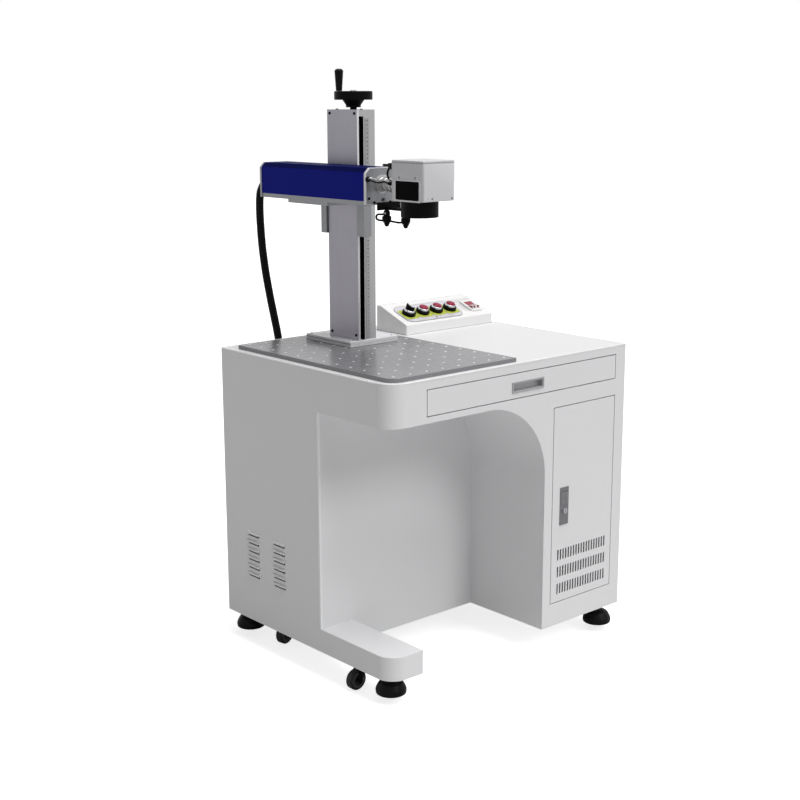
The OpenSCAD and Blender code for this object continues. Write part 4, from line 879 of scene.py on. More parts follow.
def addHoleCups(w):
    # one shallow cup with a flat rim, copied to every hole by adding the hole's place to its points; the
    # cup is shape, its bright tone is painted glint
    points, faces = lathe(w["cup"], w["sides"])
    x, y = np.meshgrid(w["left"] + w["pitch"] * np.arange(w["columns"]),
                       w["front"] + w["pitch"] * np.arange(w["rows"]))
    x, y = x.ravel(), y.ravel()
    x0, x1, y0, y1 = w["keepClear"]
    free = ~((x > x0) & (x < x1) & (y > y0) & (y < y1))
    places = np.stack([x[free], y[free], np.full(free.sum(), w["top"])], -1)
    every = (points[None] + places[:, None]).reshape(-1, 3)
    index = np.array(faces)[None] + (np.arange(len(places)) * len(points))[:, None, None]
    addPiece("fixtureHoleCups", (every, index.reshape(-1, 4).tolist()), "highlightMetal")


addHoleCups(workPlate)


print("Column")

column = {"rulerLeft": 253.0, "rulerWidth": 13.0, "rulerThick": 0.8, "rulerFoot": 728.0,
          "rulerTop": 1268.0, "firstTick": 4.0, "lastTick": 2.0, "tickStep": 2.0, "longEvery": 5,
          "shortTick": 1.8, "longTick": 2.6, "tickThick": 0.4, "tickDeep": 0.12, "tickInset": 0.6,
          "digitSize": 5.2, "digitStep": 10.0, "digitsAcross": 7.6, "digitsUp": 2.0,
          "digitsEnd": 8.0, "digitNarrow": 0.9, "digitBold": 0.16, "digitThick": 0.05,
          "screwRadius": 3.6, "coverScrew": 1.6, "footScrew": 2.2, "capScrew": 2.0,
          "edgeWidth": 5.6, "edgeThick": 0.8, "edgeMiddle": 2.5, "edgeSink": 0.1, "edgeEnds": 1.0,
          "footRound": 1.6, "footShadeLine": 1.6, "shadeLineUp": 9.0, "shadeLineEnds": 4.0}


def addRuler(c):
    # a thin strip, and ticks that are one box scaled to each tick's size and carried to its height
    front = machine["columnFront"]
    height = c["rulerTop"] - c["rulerFoot"]
    strip = slab(c["rulerWidth"], height, 1.0, c["rulerThick"], 0.25, edgeSteps=1)
    middle = (c["rulerLeft"] + c["rulerWidth"] / 2, front, c["rulerFoot"] + height / 2)
    addPiece("rulerStrip", aim(strip, "front", middle), "rulerFace")
    z = np.arange(c["rulerFoot"] + c["firstTick"], c["rulerTop"] - c["lastTick"], c["tickStep"])
    same = np.ones(len(z))
    length = np.where(np.arange(len(z)) % c["longEvery"] == 0, c["longTick"], c["shortTick"])
    box = np.array([[0, 0, 0], [1, 0, 0], [1, 0, 1], [0, 0, 1],
                    [0, -1, 0], [1, -1, 0], [1, -1, 1], [0, -1, 1]], float)
    faces = np.array([[4, 5, 6, 7], [1, 0, 3, 2], [0, 1, 5, 4], [3, 7, 6, 2], [0, 4, 7, 3],
                      [1, 2, 6, 5]])
    size = np.stack([length, same * c["tickDeep"], same * c["tickThick"]], -1)
    start = np.stack([same * (c["rulerLeft"] + c["tickInset"]),
                      same * (front - c["rulerThick"] + sunk), z], -1)
    points = (start[:, None] + box[None] * size[:, None]).reshape(-1, 3)
    index = (faces[None] + len(box) * np.arange(len(z))[:, None, None]).reshape(-1, 4).tolist()
    addPiece("rulerTicks", (points, index), "tickBlack")


def addDigits(c):
    # centimetres counted up the strip, one number to each digitStep, as flat letters made meshes
    shapes = []
    count = int((c["rulerTop"] - c["rulerFoot"] - c["digitsEnd"]) // c["digitStep"])
    for step in range(1, count + 1):
        text = bpy.data.curves.new("digits", "FONT")
        text.body = str(step)
        text.size = c["digitSize"]
        text.align_x = "CENTER"
        text.extrude = c["digitThick"]
        text.offset = c["digitBold"]
        text.resolution_u = 1
        holder = bpy.data.objects.new("digits", text)
        bpy.context.scene.collection.objects.link(holder)
        bpy.context.view_layer.update()
        mesh = bpy.data.meshes.new_from_object(
            holder.evaluated_get(bpy.context.evaluated_depsgraph_get()))
        points = np.empty(len(mesh.vertices) * 3)
        mesh.vertices.foreach_get("co", points)
        points = points.reshape(-1, 3) * [c["digitNarrow"], 1, 1]
        faces = [list(p.vertices) for p in mesh.polygons]
        place = (c["rulerLeft"] + c["digitsAcross"], machine["columnFront"] - c["rulerThick"] - sunk,
                 c["rulerFoot"] + c["digitsUp"] + step * c["digitStep"])
        shapes.append(aim((points, faces), "front", place))
        bpy.data.objects.remove(holder)
        bpy.data.meshes.remove(mesh)
    addPiece("rulerDigits", joinShapes(shapes), "tickBlack")


def addColumnEdges(c):
    # cover edge: a thin bright rounded strip down the cover's front, a painted highlight; foot: a dark
    # line on its left face, painted shade below its rounded top edge
    left, front, foot = machine["columnLeft"], machine["columnFront"], machine["columnFoot"]
    height = machine["columnTop"] - foot - 2 * c["edgeEnds"]
    strip = slab(c["edgeWidth"], height, 1.2, c["edgeThick"], 0.35)
    middle = (left + c["edgeMiddle"], front + c["edgeSink"], foot + c["edgeEnds"] + height / 2)
    addPiece("coverEdgeHighlight", aim(strip, "front", middle), "highlightMetal")
    low, high = boxOf("column_base")
    softened("column_base", "footMetal", c["footRound"], boxEdges(low, high))
    band = slab(high[1] - low[1] - c["shadeLineEnds"], c["footShadeLine"], 0.4, 0.3, 0.08, edgeSteps=1)
    middle = (low[0] + 0.05, (low[1] + high[1]) / 2, low[2] + c["shadeLineUp"])
    addPiece("footShadeLine", aim(band, "left", middle), "latchSteel")


addRuler(column)
addDigits(column)
addScrews("coverScrews", capScrew(column["screwRadius"], column["coverScrew"]), "left",
          [machine["columnLeft"]], (391, 486), (737, 1279))
addScrews("baseScrews", capScrew(column["screwRadius"], column["footScrew"]), "up",
          (210, 346), (390, 548), [machine["columnFoot"]], "zincSteel")
addScrews("capScrews", capScrew(column["screwRadius"], column["capScrew"]), "up",
          [252], (392, 485), [machine["columnTop"]])
addColumnEdges(column)


print("Handwheel")

handwheel = {"axis": (266.0, 438.5), "hubFoot": 1293.0, "rimTop": 1332.0,
             "lip": [(7.2, 0), (18.4, 0), (18.4, 5.5), (16.9, 5.5), (7.2, 5.5)], "lipRound": 0.7,
             "nut": [(0, -3.0), (8.0, -3.0), (8.0, 2.4), (0, 2.4)], "nutRound": 0.8,
             "cap": [(0, -2.0), (8.2, -2.0), (8.2, 0.0), (7.052, 0.96), (4.1, 1.6), (0, 1.6)],
             "capSink": 0.6}


def addWheelDetail(h):
    # turned rings about the screw's axis, and a turned cap on the grip's end
    lip = turnedRing(h["lip"], h["lipRound"], 48)
    addPiece("wheelLip", aim(lip, "up", (*h["axis"], h["hubFoot"] + sunk)), "blackMetal", "screw")
    nut = sixSided(softCorners(h["nut"], h["nutRound"], closed=False, steps=2), closed=False)
    addPiece("wheelNut", aim(nut, "up", (*h["axis"], h["rimTop"])), "zincSteel", "screw")
    low, high = boxOf("handwheel_grip")
    middle = (low + high) / 2
    place = (middle[0], middle[1], high[2] - h["capSink"])
    addPiece("gripCap", aim(lathe(h["cap"], 32), "up", place), "capGrey", "grip")


addWheelDetail(handwheel)


print("Arm and scan head")

armPlate = {"screws": [(137.0, 1088.3), (153.0, 1078.3), (202.3, 1077.8), (215.0, 1087.6)],
            "screwRadius": 3.2, "screwHeight": 2.2, "rearScrews": ((138, 214), [644], (1082, 1148)),
            "clip": (182.0, 1080.2), "clipSize": 10.0, "clipThick": 5.0, "clipRound": 1.2,
            "low": 1074.0, "high": 1158.0, "left": 128.0, "right": 224.0, "chamfer": 12.0,
            "rimWidth": 1.6, "rimProud": 0.4, "rimStandOff": 0.25, "plateThick": 7.0,
            "tubeStandOff": 0.2,
            "tube": [(13.0, 90.2), (25.0, 90.2), (25.0, 86.2), (18.0, 85.6), (16.2, 84.2),
                     (16.2, 66.2), (15.2, 65.4), (15.2, 63.2), (16.2, 62.4), (16.2, 29.2),
                     (15.2, 28.4), (15.2, 26.2), (16.2, 25.4), (16.2, 10.2), (18.4, 9.2),
                     (18.4, 3.2), (21.5, 2.4), (21.5, 0.0), (13.0, 0.0)],
            "clamp": [(16.0, 0), (18.6, 0), (18.6, 8.0), (16.0, 8.0)], "clampFrom": 180.0,
            "flangeY": 143.0, "flangeRadius": 21.6, "flangeTurns": (20, 140, 260),
            "flangeScrew": (2.2, 1.6)}


def addArmDetail(a):
    # screws, the bright rim round the front end plate, a painted highlight on its edges, and the stepped
    # tube turned about its own axis
    front, tubeX, tubeZ = machine["armFront"], machine["tubeX"], machine["tubeZ"]
    head = capScrew(a["screwRadius"], a["screwHeight"])
    addPiece("armPlateScrews", copies(head, "front", [(x, front, z) for x, z in a["screws"]]),
             "blackMetal", "arm")
    addScrews("armRearScrews", head, "back", *a["rearScrews"], body="arm")
    size = a["clipSize"]
    wedge = softCorners([[-size / 2, 0], [size / 2, 0], [0, size * 0.8]], a["clipRound"], steps=3)
    addPiece("leadClip", aim(plate(wedge, a["clipThick"], 0.6), "front",
                             (a["clip"][0], front, a["clip"][1])), "latchSteel", "arm")
    c = a["chamfer"]
    outer = softCorners([[a["left"], a["low"]], [a["right"], a["low"]], [a["right"], a["high"] - c],
                         [a["right"] - c, a["high"]], [a["left"] + c, a["high"]],
                         [a["left"], a["high"] - c]], 1.5, steps=2)
    outer = outer + a["rimStandOff"] * outwards(outer)
    rim = frameOf(outer, outer - a["rimWidth"] * outwards(outer), a["plateThick"] + a["rimProud"], 0.5)
    addPiece("endPlateHighlight", aim(rim, "front", (0, front + a["plateThick"], 0)), "footMetal", "arm")
    stepped = lathe(a["tube"], 64, closed=True)
    addPiece("steppedTube", aim(stepped, "front", (tubeX, front + a["tubeStandOff"], tubeZ)),
             "tubeMetal", "arm", replaced=("adapter_tube",))
    clamp = turnedRing(a["clamp"], 1.0, 64)
    addPiece("tubeClamp", aim(clamp, "back", (tubeX, a["clampFrom"], tubeZ)), "tubeMetal", "arm")
    turns, reach = np.radians(a["flangeTurns"]), a["flangeRadius"]
    places = [(tubeX + reach * np.cos(t), a["flangeY"], tubeZ + reach * np.sin(t)) for t in turns]
    addPiece("flangeScrews", copies(capScrew(*a["flangeScrew"]), "back", places), "blackMetal", "arm")


addArmDetail(armPlate)

headDetail = {"outer": (86.5, 1113.05, 91.0, 48.9, 4.0), "inner": (85.6, 1113.3, 78.0, 41.8, 3.2),
              "frameProud": 1.3, "frameEdge": 0.9, "pane": (85.6, 1113.3, 78.4, 42.2, 4.0),
              "paneThick": 0.5, "paneSink": 0.05, "sideScrews": [(113.0, 1142.1), (60.0, 1142.2)],
              "frontScrews": [(155.1, 1096.8), (214.9, 1095.9)], "pinhole": (142.5, 1097.8),
              "screwRadius": 2.4, "screwHeight": 0.9, "pinholeSize": (1.1, 0.3), "round": 1.7,
              "lidLine": (1173.4, 1.9), "lineProud": 0.08, "lineDeep": 0.6,
              "coverInset": 2.0, "coverThick": 1.4, "coverRound": 1.6, "coverFoot": 1.0,
              "coverGap": 0.6,
              "glass": [(0, 3.0), (31.6, 3.0), (31.6, 0.6), (24, -0.55), (12, -0.9), (0, 0.0)],
              "glassY": 97.0, "glassUp": 4.0}


def addHeadDetail(h):
    # the case's own edges rounded, a frame between two outlines round the window, a grey line under the
    # lid that is painted shadow
    low, high = boxOf("scan_head")
    left, front, foot = low
    middle, size = (low + high) / 2, high - low
    softened("scan_head", "headPaint", h["round"], boxEdges(low, high))
    y, z, width, height, corner = h["pane"]
    pane = slab(width, height, corner, h["paneThick"], 0.1, 5, 1)
    addPiece("headWindow", aim(pane, "left", (left + h["paneSink"], y, z)), "windowBlack", "arm")
    outer, inner = [roundedBox(width, height, corner) + [-y, z]
                    for y, z, width, height, corner in (h["outer"], h["inner"])]
    rim = frameOf(outer, inner, h["frameProud"], h["frameEdge"], 4)
    addPiece("headWindowFrame", aim(rim, "left", (left, 0, 0)), "frontPaint", "arm")
    lineFoot, lineHeight = h["lidLine"]
    proud, deep = 2 * h["lineProud"], 2 * h["lineDeep"]
    line = frameOf(roundedBox(size[0] + proud, size[1] + proud, h["round"] + 0.4),
                   roundedBox(size[0] - deep, size[1] - deep, h["round"]), lineHeight, 0.05, 1)
    addPiece("lidShadow", aim(line, "up", (middle[0], middle[1], lineFoot)), "paintedShadeGrey", "arm")
    bottom, top = foot + h["coverFoot"], lineFoot - h["coverGap"]
    cover = slab(size[0] - 2 * h["coverInset"], top - bottom, h["coverRound"], h["coverThick"], 0.6, 5, 3)
    addPiece("headFrontCover", aim(cover, "front", (middle[0], front, (bottom + top) / 2)),
             "frontPaint", "arm")
    screw, face = panScrew(h["screwRadius"], h["screwHeight"]), front - h["coverThick"]
    x, z = h["pinhole"]
    addPiece("headScrews", joinShapes([
        copies(screw, "left", [(left, y, z) for y, z in h["sideScrews"]]),
        copies(screw, "front", [(x, face, z) for x, z in h["frontScrews"]]),
        aim(panScrew(*h["pinholeSize"]), "front", (x, face, z))]), "latchSteel", "arm")
    place = (machine["tubeX"], h["glassY"], boxOf("lens")[0][2] + h["glassUp"])
    addPiece("lensGlass", aim(lathe(h["glass"], 64), "up", place), "lensGlass", "arm")


addHeadDetail(headDetail)

leads = {
    "routes": {
        "leadSilver": ([[133, 226, 1134], [137, 223.5, 1136], [140, 219, 1134.5], [140, 213, 1133.8],
                        [140, 207, 1133], [140, 201, 1134], [140, 194, 1138], [140, 187, 1141.6],
                        [140, 180, 1143.4], [140, 172, 1142.2], [140, 163, 1138.5], [140, 153, 1135],
                        [140, 145, 1133.6], [140, 139, 1133.4]], "wireSilver", 1.6),
        "leadDark": ([[131.5, 227, 1131], [136, 224, 1130], [140, 218, 1128.6], [140, 211, 1127],
                      [140, 203, 1126], [140, 194, 1126.6], [140, 186, 1128], [141, 179, 1128.8],
                      [143, 174.5, 1127.4], [147, 172.5, 1125.6], [151, 172, 1125]], "blackRubber", 1.7),
        "leadThick": ([[134, 150, 1162], [134, 155, 1158.5], [134.5, 159, 1153], [135, 161, 1147],
                       [137, 161.5, 1141], [141, 160.5, 1135.5], [147, 158.5, 1132.5],
                       [155, 157, 1131]], "blackRubber", 2.5)},
    "steps": 70, "twists": 23, "twistDepth": 0.1,
    "grommet": [(1.8, 0), (6.6, 0), (6.6, 3.4), (4.8, 5.2), (1.8, 5.2)],
    "grommetPlace": (132.5, 229.0, 1132.5),
    "boot": [(0, 0), (4.6, 0), (4.6, 6), (3.4, 9.5), (1.8, 10.5), (0, 10.5)],
    "bootPlace": (157.0, 172.0, 1125.0),
    "plug": (13, 14, 2.0, 12.0, 0.8), "plugPlace": (134.5, 139.0, 1165.5),
    "stub": [(0, 0), (4.0, 0), (4.0, 6), (3.0, 7), (3.0, 21), (2.4, 24), (0, 24)],
    "stubPlace": (134.5, 151.0, 1167.0)}


def addLeads(c):
    # each lead is a circle carried along a smooth route, its radius rippled as twisted strands are
    wave = np.sin(np.linspace(0, c["twists"] * 2 * np.pi, c["steps"]))
    for name, (route, finishName, radius) in c["routes"].items():
        shape = tube(smoothPath(route, c["steps"]), radius * (1 + c["twistDepth"] * wave), 10)
        addPiece(name, shape, finishName, "arm", smooth=60)
    fitted = [aim(turnedRing(c["grommet"], 0.7, 28), "front", c["grommetPlace"]),
              aim(lathe(c["boot"], 24), "left", c["bootPlace"]),
              aim(slab(*c["plug"], 5, 3), "back", c["plugPlace"]),
              aim(lathe(c["stub"], 24), "back", c["stubPlace"])]
    addPiece("leadFittings", joinShapes(fitted), "blackPlastic", "arm", replaced=("signal_leads",))


addLeads(leads)

pointerDetail = {
    "axes": {"rear_pointer": ("pointer_rear", 231.0), "front_pointer": ("pointer_front", 164.0)},
    "barX": 193.0, "foot": 1020.6, "pivot": 1052.0,
    "profile": [(0, 0.0), (2.6, 0.0), (4.0, 0.8), (4.8, 2.4), (7.4, 8.0), (10.0, 13.4), (11.0, 16.0),
                (11.0, 22.6), (10.2, 24.2), (7.0, 25.6), (0, 25.6)],
    "cheekRound": 7.2, "cheekFoot": 1041.0, "cheekHalf": 5.5, "cheekInner": 1.9, "cheekThick": 2.8,
    "screw": (1.5, 0.8), "screwIn": 7.6, "screwUp": 9.2, "pivotScrew": (2.4, 1.0), "cableRadius": 2.4,
    "cables": {
        "pointerCable": ([[193, 229, 1046.5], [193, 235, 1048], [193, 244, 1048.2],
                          [193, 254, 1047.6], [193, 262, 1047], [193, 266.5, 1045],
                          [193, 268.6, 1041], [193, 267.4, 1036.6], [193, 262, 1034.2],
                          [193, 252, 1033.6], [193, 242, 1033.8], [193, 234, 1035.5]], 60),
        "pointerCableFront": ([[193, 228, 1036.2], [193, 221, 1034.4], [193, 212, 1033.6],
                               [193, 200, 1032.8], [193, 188, 1032.4], [193, 180, 1033.2],
                               [193, 174, 1035.2], [193, 168, 1038]], 30)}}


def addPointers(c):
    # each barrel is one profile turned about its axis; a cable is a circle carried along its route
    x, pivot, width = c["barX"], c["pivot"], c["cheekHalf"]
    barrel = lathe(c["profile"], 40)
    bend = np.linspace(0, np.pi, 17)
    crown = np.stack([np.cos(bend), np.sin(bend)], -1) * c["cheekRound"] + [0.0, pivot]
    loop = np.concatenate([[[-width, c["cheekFoot"]], [width, c["cheekFoot"]]], crown])
    cheek = plate(loop, c["cheekThick"], 0.5, 2)
    reach = c["cheekInner"] + c["cheekThick"]
    for body, (node, y) in c["axes"].items():
        shapes = [aim(barrel, "up", (x, y, c["foot"])), aim(cheek, "left", (x - c["cheekInner"], y, 0)),
                  aim(cheek, "left", (x + reach, y, 0))]
        addPiece(body + "_barrel", joinShapes(shapes), "blackMetal", body, smooth=50, replaced=(node,))
        spots = [aim(panScrew(*c["screw"]), "left", (x - c["screwIn"], y, c["foot"] + c["screwUp"])),
                 aim(panScrew(*c["pivotScrew"]), "left", (x - reach, y, pivot))]
        addPiece(body + "_screws", joinShapes(spots), "zincSteel", body)
    for name, (route, steps) in c["cables"].items():
        cable = tube(smoothPath(route, steps), c["cableRadius"], 10, hint=(1, 0, 0))
        addPiece(name, cable, "blackRubber", "arm", smooth=60)


addPointers(pointerDetail)


print("Console")

console = {
    "left": 464.5, "right": 785.0, "front": 467.0, "lip": 727.0, "ridge": 767.6, "foot": 700.6,
    "slope": 21.177, "round": 2.6, "switches": (46.5, 96.5, 146.5, 196.5), "along": 48.0, "seat": 3.0,
    "plate": (122.0, 51.0, 207.0, 84.0, 26.0), "plateTop": 2.0, "rimOut": 0.8, "rimIn": 2.4,
    "rimProud": 0.35, "footShadow": 1.3, "footShadowProud": 0.5, "footShadowDeep": 2.0, "backLine": (1.6, 0.5, 1.0, 0.2),
    "backLineEnds": 6.0, "backLineIn": 2.2, "backLineSink": 0.6,
    "legend": (47.6, 47.6, 9.0, 1.1, 0.4), "screw": (2.6, 1.2), "screwPlace": (122.5, 16.0),
    "base": [(12.9, 0), (19.0, 0), (19.0, 7.6), (16.6, 10.4), (12.9, 10.4)],
    "barrel": [(4.2, 0), (10.8, 0), (10.8, 24), (4.2, 24)],
    "ring": [(12.6, 0), (15.4, 0), (15.2, 2.0), (14.2, 4.6), (13.6, 5.2), (12.6, 5.2)], "ringUp": 13.3,
    "cap": [(0, -14.0), (3.9, -14.0), (3.9, 9.0), (11.8, 9.0), (12.3, 9.6), (12.3, 19.6), (11.9, 20.6),
            (10.9, 21.1), (8.0, 21.4), (0, 21.5)],
    "disc": [(0, -14.0), (3.9, -14.0), (3.9, 9.0), (12.0, 9.0), (12.4, 9.6), (12.4, 18.6), (11.4, 19.6),
             (0, 19.8)],
    "handle": (12.2, 5.4, 10.5), "handleUp": 19.2, "knobTurn": 28.0,
    "rockerX": 281.5, "rockerOuter": (22.5, 28.5, [12, 12, 5, 5]), "rockerInner": (14.2, 20.2, 1.0),
    "rockerProud": 5.2, "rockerEdge": 1.2}


def onSlope(shape, x, s, height):
    # carries a shape drawn flat to a place on the sloping face
    points, faces = shape
    angle = np.radians(console["slope"])
    up = np.array([0, -np.sin(angle), np.cos(angle)])
    along = np.array([0, np.cos(angle), np.sin(angle)])
    across = np.array([1.0, 0, 0])
    corner = np.array([console["left"], console["front"], console["lip"]])
    origin = corner + across * x + along * s + up * height
    return np.asarray(points) @ np.array([across, along, up]) + origin, faces


def consoleEdges(a, b, reach=0.3):
    # the housing's outer edges: those on its end faces, its front lip and its ridge
    onLeft, onRight = [(np.abs(a[:, 0] - x) < reach) & (np.abs(b[:, 0] - x) < reach)
                       for x in (console["left"], console["right"])]
    lip = [console["front"], console["lip"]]
    onLip = (np.abs(a[:, 1:] - lip).max(1) < reach) & (np.abs(b[:, 1:] - lip).max(1) < reach)
    onRidge = (a[:, 2] > console["ridge"]) & (b[:, 2] > console["ridge"])
    low = (a[:, 2] < console["foot"]) & (b[:, 2] < console["foot"])
    return (onLeft | onRight | onLip | onRidge) & ~low


def waistedHandle(length, width, height):
    # outline x = w (0.62 + 0.5 cos2 t) sin t, y = l cos t; its top sinks at the middle as 1 - (y / l)2
    t = turnOf(48)
    across = width * (0.62 + 0.5 * np.cos(t) ** 2) * np.sign(np.sin(t)) * np.abs(np.sin(t)) ** 0.6
    loop = np.stack([across, length * np.sign(np.cos(t)) * np.abs(np.cos(t)) ** 0.75], -1)[::-1]
    points, faces = plate(loop, height, 1.4, 4)
    sink = 0.34 * (1 - np.clip(np.abs(points[:, 1]) / length, 0, 1) ** 2)
    lean = 0.22 * points[:, 1] / length
    points[:, 2] *= np.where(points[:, 2] > height / 2, 1 - sink + lean, 1.0)
    return points, faces


def addHousingLines(c):
    # the housing with its outer edges rounded, a grey line round its foot along the table that is painted
    # shadow, and a grey line on its ridge that is painted shade
    softened("console_housing", "consolePaint", c["round"], consoleEdges, segments=3)
    low, high = boxOf("console_housing")
    middle = (low + high) / 2
    wide, deep = (high - low)[:2]
    proud, inside = 2 * c["footShadowProud"], 2 * c["footShadowDeep"]
    footShadow = frameOf(roundedBox(wide + proud, deep + proud, 1.0),
                   roundedBox(wide - inside, deep - inside, 1.0), c["footShadow"], 0.1, 1)
    addPiece("consoleFootShadow", aim(footShadow, "up", (middle[0], middle[1], low[2])), "paintedShadeGrey")
    line = slab(wide - c["backLineEnds"], *c["backLine"], edgeSteps=1)
    place = (middle[0], high[1] - c["backLineIn"], high[2] - c["backLineSink"])
    addPiece("consoleRidgeShade", aim(line, "up", place), "paintedShadeGrey")


def addPlateDetail(c):
    # frames between two outlines round the plate and the rocker, the legends and a screw
    x, s, width, height, corner = c["plate"]
    out, inside = c["rimOut"], c["rimIn"]
    rim = frameOf(roundedBox(width + out, height + out, corner + 1, 8),
                  roundedBox(width - inside, height - inside, corner - 1, 8),
                  c["plateTop"] + c["rimProud"], 0.3)
    addPiece("controlPlateRim", onSlope(rim, x, s, sunk), "pullSteel")
    legend = slab(*c["legend"], 5, 2)
    addPiece("legendPlates", joinShapes([onSlope(legend, x, c["along"], c["plateTop"] - sunk)
                                         for x in c["switches"]]), "legendLime")
    screw = onSlope(panScrew(*c["screw"]), *c["screwPlace"], c["plateTop"])
    addPiece("consoleScrew", screw, "latchSteel")
    outer, inner = [softCorners([[-w, -h], [w, -h], [w, h], [-w, h]], corner, steps=5)
                    for w, h, corner in (c["rockerOuter"], c["rockerInner"])]
    rim = frameOf(outer, inner, c["rockerProud"], c["rockerEdge"], 3)
    addPiece("rockerFrame", onSlope(rim, c["rockerX"], c["along"], sunk), "whitePlastic")


def addSwitches(c):
    # turned bases, rings, caps and disc, and the knob's waisted handle turned about its own axis
    places, along = c["switches"], c["along"]
    base = turnedRing(c["base"], 1.2, 48, steps=3)
    barrel = lathe(c["barrel"], 32, closed=True)
    bodies = [onSlope(base, x, along, c["seat"] + 0.1) for x in places]
    bodies += [onSlope(barrel, x, along, c["seat"] - c["barrel"][-1][1]) for x in places]
    addPiece("switchBases", joinShapes(bodies), "blackPlastic", replaced=("switch_bodies",))
    ring = turnedRing(c["ring"], 0.7, 48, steps=3)
    addPiece("switchRings", joinShapes([onSlope(ring, x, along, c["ringUp"]) for x in places]), "chrome")
    for x, side in zip(places[1:], ("left", "middle", "right")):
        addPiece(side + "_button_cap", onSlope(lathe(c["cap"]), x, along, 0), "buttonRed",
                 side + "_button", replaced=("button_" + side,))
    points, faces = waistedHandle(*c["handle"])
    angle = np.radians(c["knobTurn"])
    turn = np.array([[np.cos(angle), np.sin(angle), 0], [-np.sin(angle), np.cos(angle), 0], [0, 0, 1]])
    knob = joinShapes([lathe(c["disc"]), (points @ turn + [0, 0, c["handleUp"]], faces)])
    addPiece("selectorHandle", onSlope(knob, places[0], along, 0), "blackPlastic", "selector",
             replaced=("selector_knob",))


addHousingLines(console)
addPlateDetail(console)
addSwitches(console)


print("Rocker")

rocker = {"centre": (281.5, 48.0), "pivot": 2.0, "lift": 3.0, "tip": 20.0, "reach": 19.5, "half": 13.5,
          "cheekGap": 0.2, "bandGap": 0.1, "reflectionHalf": 3.4, "prongHalf": 3.3, "length": 17.9,
          "crest": 0.6, "proud": 0.5, "cornerAngle": 27.6, "bandFoot": 4.0, "prongFoot": 13.0,
          "endProud": 0.2, "prongProud": 0.3, "endDeep": 0.4}


def rockerStrip(r, start, end):
    # a thin plate on the near face, turned by the tip about the pin
    near, far = -r["length"], -r["crest"]
    flat = softCorners([[start, near], [end, near], [end, far], [start, far]], 0.8, steps=2)
    points, faces = plate(flat, r["proud"], 0.2, 1, bothEdges=False)
    rise = np.radians(r["tip"])
    x, y, z = points.T
    return np.stack([x, y * np.cos(rise) + z * np.sin(rise), z * np.cos(rise) - y * np.sin(rise)],
                    -1), faces


def rockerEnd(r, start, end, lowest, proud):
    # part of a ring about the pin: (y, z) = R (-cos a, sin a) for a from lowest to the corner
    bend = np.radians(np.linspace(lowest, r["cornerAngle"], 9))
    ring = np.stack([-np.cos(bend), np.sin(bend)], -1)
    loop = np.concatenate([ring * (r["reach"] + proud), ring[::-1] * (r["reach"] - r["endDeep"])])
    points, faces = plate(loop[::-1], end - start, 0.08, 1)
    return points[:, [2, 0, 1]] + [start, 0.0, -r["lift"]], faces


def addRockerFaces(r):
    # on the near face and the round end: a white middle, two dark prongs and white cheeks outside them;
    # the white is painted reflection on the glossy red
    x, s = r["centre"]
    height = r["pivot"] + r["lift"]
    inner, outer = r["reflectionHalf"], r["reflectionHalf"] + 2 * r["prongHalf"]
    cheek, band = r["half"] - r["cheekGap"], r["half"] - r["bandGap"]
    prongs = ((-outer, -inner), (inner, outer))
    white = [rockerStrip(r, start, end) for start, end in ((-inner, inner), (-cheek, -outer),
                                                           (outer, cheek))]
    white.append(rockerEnd(r, -band, band, r["bandFoot"], r["endProud"]))
    dark = [rockerStrip(r, *ends) for ends in prongs]
    dark += [rockerEnd(r, *ends, r["prongFoot"], r["prongProud"]) for ends in prongs]
    addPiece("rockerPaintedReflection", onSlope(joinShapes(white), x, s, height), "whitePlastic", "power_rocker")
    addPiece("rockerProngs", onSlope(joinShapes(dark), x, s, height), "prongRed", "power_rocker")


addRockerFaces(rocker)


print("Feet and casters")

feet = {"places": [(47, 54), (753, 30), (47, 619), (753, 619)], "low": -50.0, "padTop": -15.0,
        "pad": [(0, 0.6), (33.6, 0), (36.2, 1.6), (37.0, 8.4), (36.3, 13.3), (34.4, 17.5), (31.4, 23.1),
                (28.4, 28.0), (22.2, 31.9), (14.0, 35.0), (0, 35.2)], "padRound": 3.5,
        "stemRadius": 5.6, "stemOver": 1.5, "stemSink": 1.0, "threadPitch": 1.75, "threadDeep": 0.45,
        "nut": [(5.7, 0), (11.0, 0), (11.8, 0.9), (11.8, 7.1), (11.0, 8.0), (5.7, 8.0)], "nutFoot": -8.0}


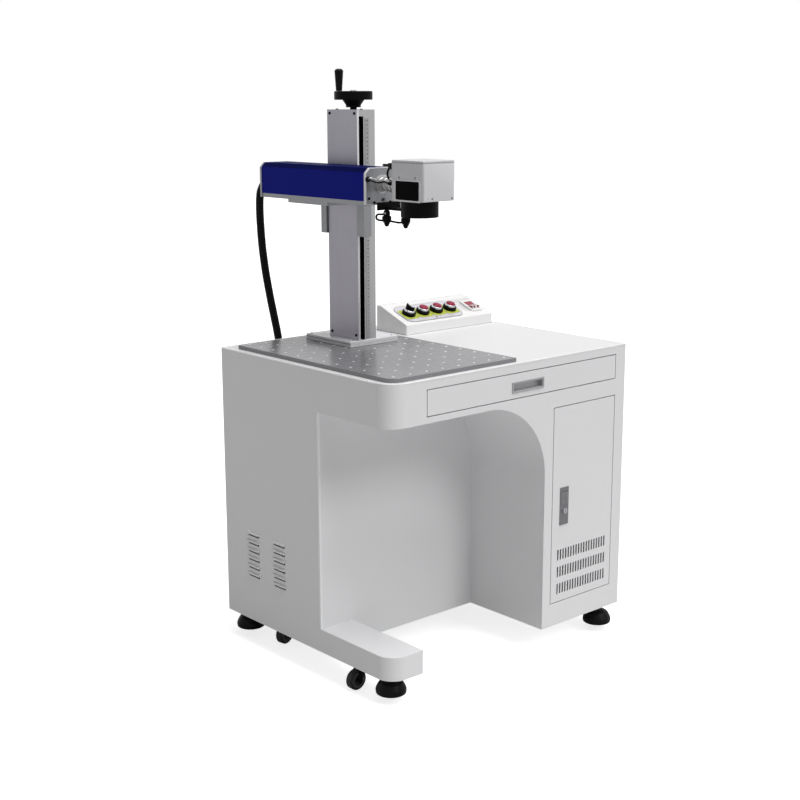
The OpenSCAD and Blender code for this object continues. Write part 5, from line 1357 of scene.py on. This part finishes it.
def addFeet(f):
    # turned pads, stems whose radius swings with the thread's pitch, and six-sided nuts
    pad = lathe(softCorners(f["pad"], f["padRound"], closed=False), 64)
    turns = np.arange(0, f["stemOver"] - f["padTop"], f["threadPitch"] / 4)
    thread = f["stemRadius"] + f["threadDeep"] * np.cos(turns / f["threadPitch"] * 2 * np.pi)
    stem = lathe(np.concatenate([[[0, 0]], np.stack([thread, turns], -1), [[0, turns[-1]]]]), 24)
    nut = sixSided(softCorners(f["nut"], 0.3, steps=1))
    for name, shape, height, finishName, replaced in (
            ("footPads", pad, f["low"], "blackPlastic", ("levelling_feet",)),
            ("footStems", stem, f["padTop"] - f["stemSink"], "zincSteel", ()),
            ("footNuts", nut, f["nutFoot"], "zincSteel", ())):
        places = [(*place, height) for place in f["places"]]
        addPiece(name, copies(shape, "up", places), finishName, replaced=replaced)


addFeet(feet)

casters = {"kingpins": ((48, 158), (752, 158), (48, 498), (752, 498)), "halfWidth": 10.0,
           "hub": [(0, -1.2), (6.0, -1.2), (6.0, 0.6), (4.6, 1.7), (0, 2.0)], "hubOut": 3.4,
           "groove": [(13.0, 0.0), (19.0, 0.0), (18.6, 0.7), (16.0, 1.0), (13.4, 0.7)],
           "grooveSink": 0.05}


def addCasterHubs(c):
    # turned caps set on both ends of each axle, square to the line from the kingpin to the wheel
    up = np.array([0.0, 0.0, 1.0])
    hubPoints, hubFaces = lathe(c["hub"], 24)
    ringPoints, ringFaces = lathe(c["groove"], 32, closed=True)
    for name, pin in zip(corners, c["kingpins"]):
        low, high = boxOf("caster_wheel_" + name)
        centre = (low + high) / 2
        trail = centre[:2] - pin
        trail /= np.linalg.norm(trail)
        hubs, rings = [], []
        for sign in (-1, 1):
            out = np.array([-trail[1], trail[0], 0.0]) * sign
            axes = np.stack([np.cross(up, out), up, out])
            hubs.append((hubPoints @ axes + centre + out * (c["halfWidth"] + c["hubOut"]), hubFaces))
            rings.append((ringPoints @ axes + centre + out * (c["halfWidth"] - c["grooveSink"]),
                          ringFaces))
        addPiece("casterAxle_" + name, joinShapes(hubs), "zincSteel", "fork_" + name)
        addPiece("casterRing_" + name, joinShapes(rings), "capGrey", "wheel_" + name)


addCasterHubs(casters)
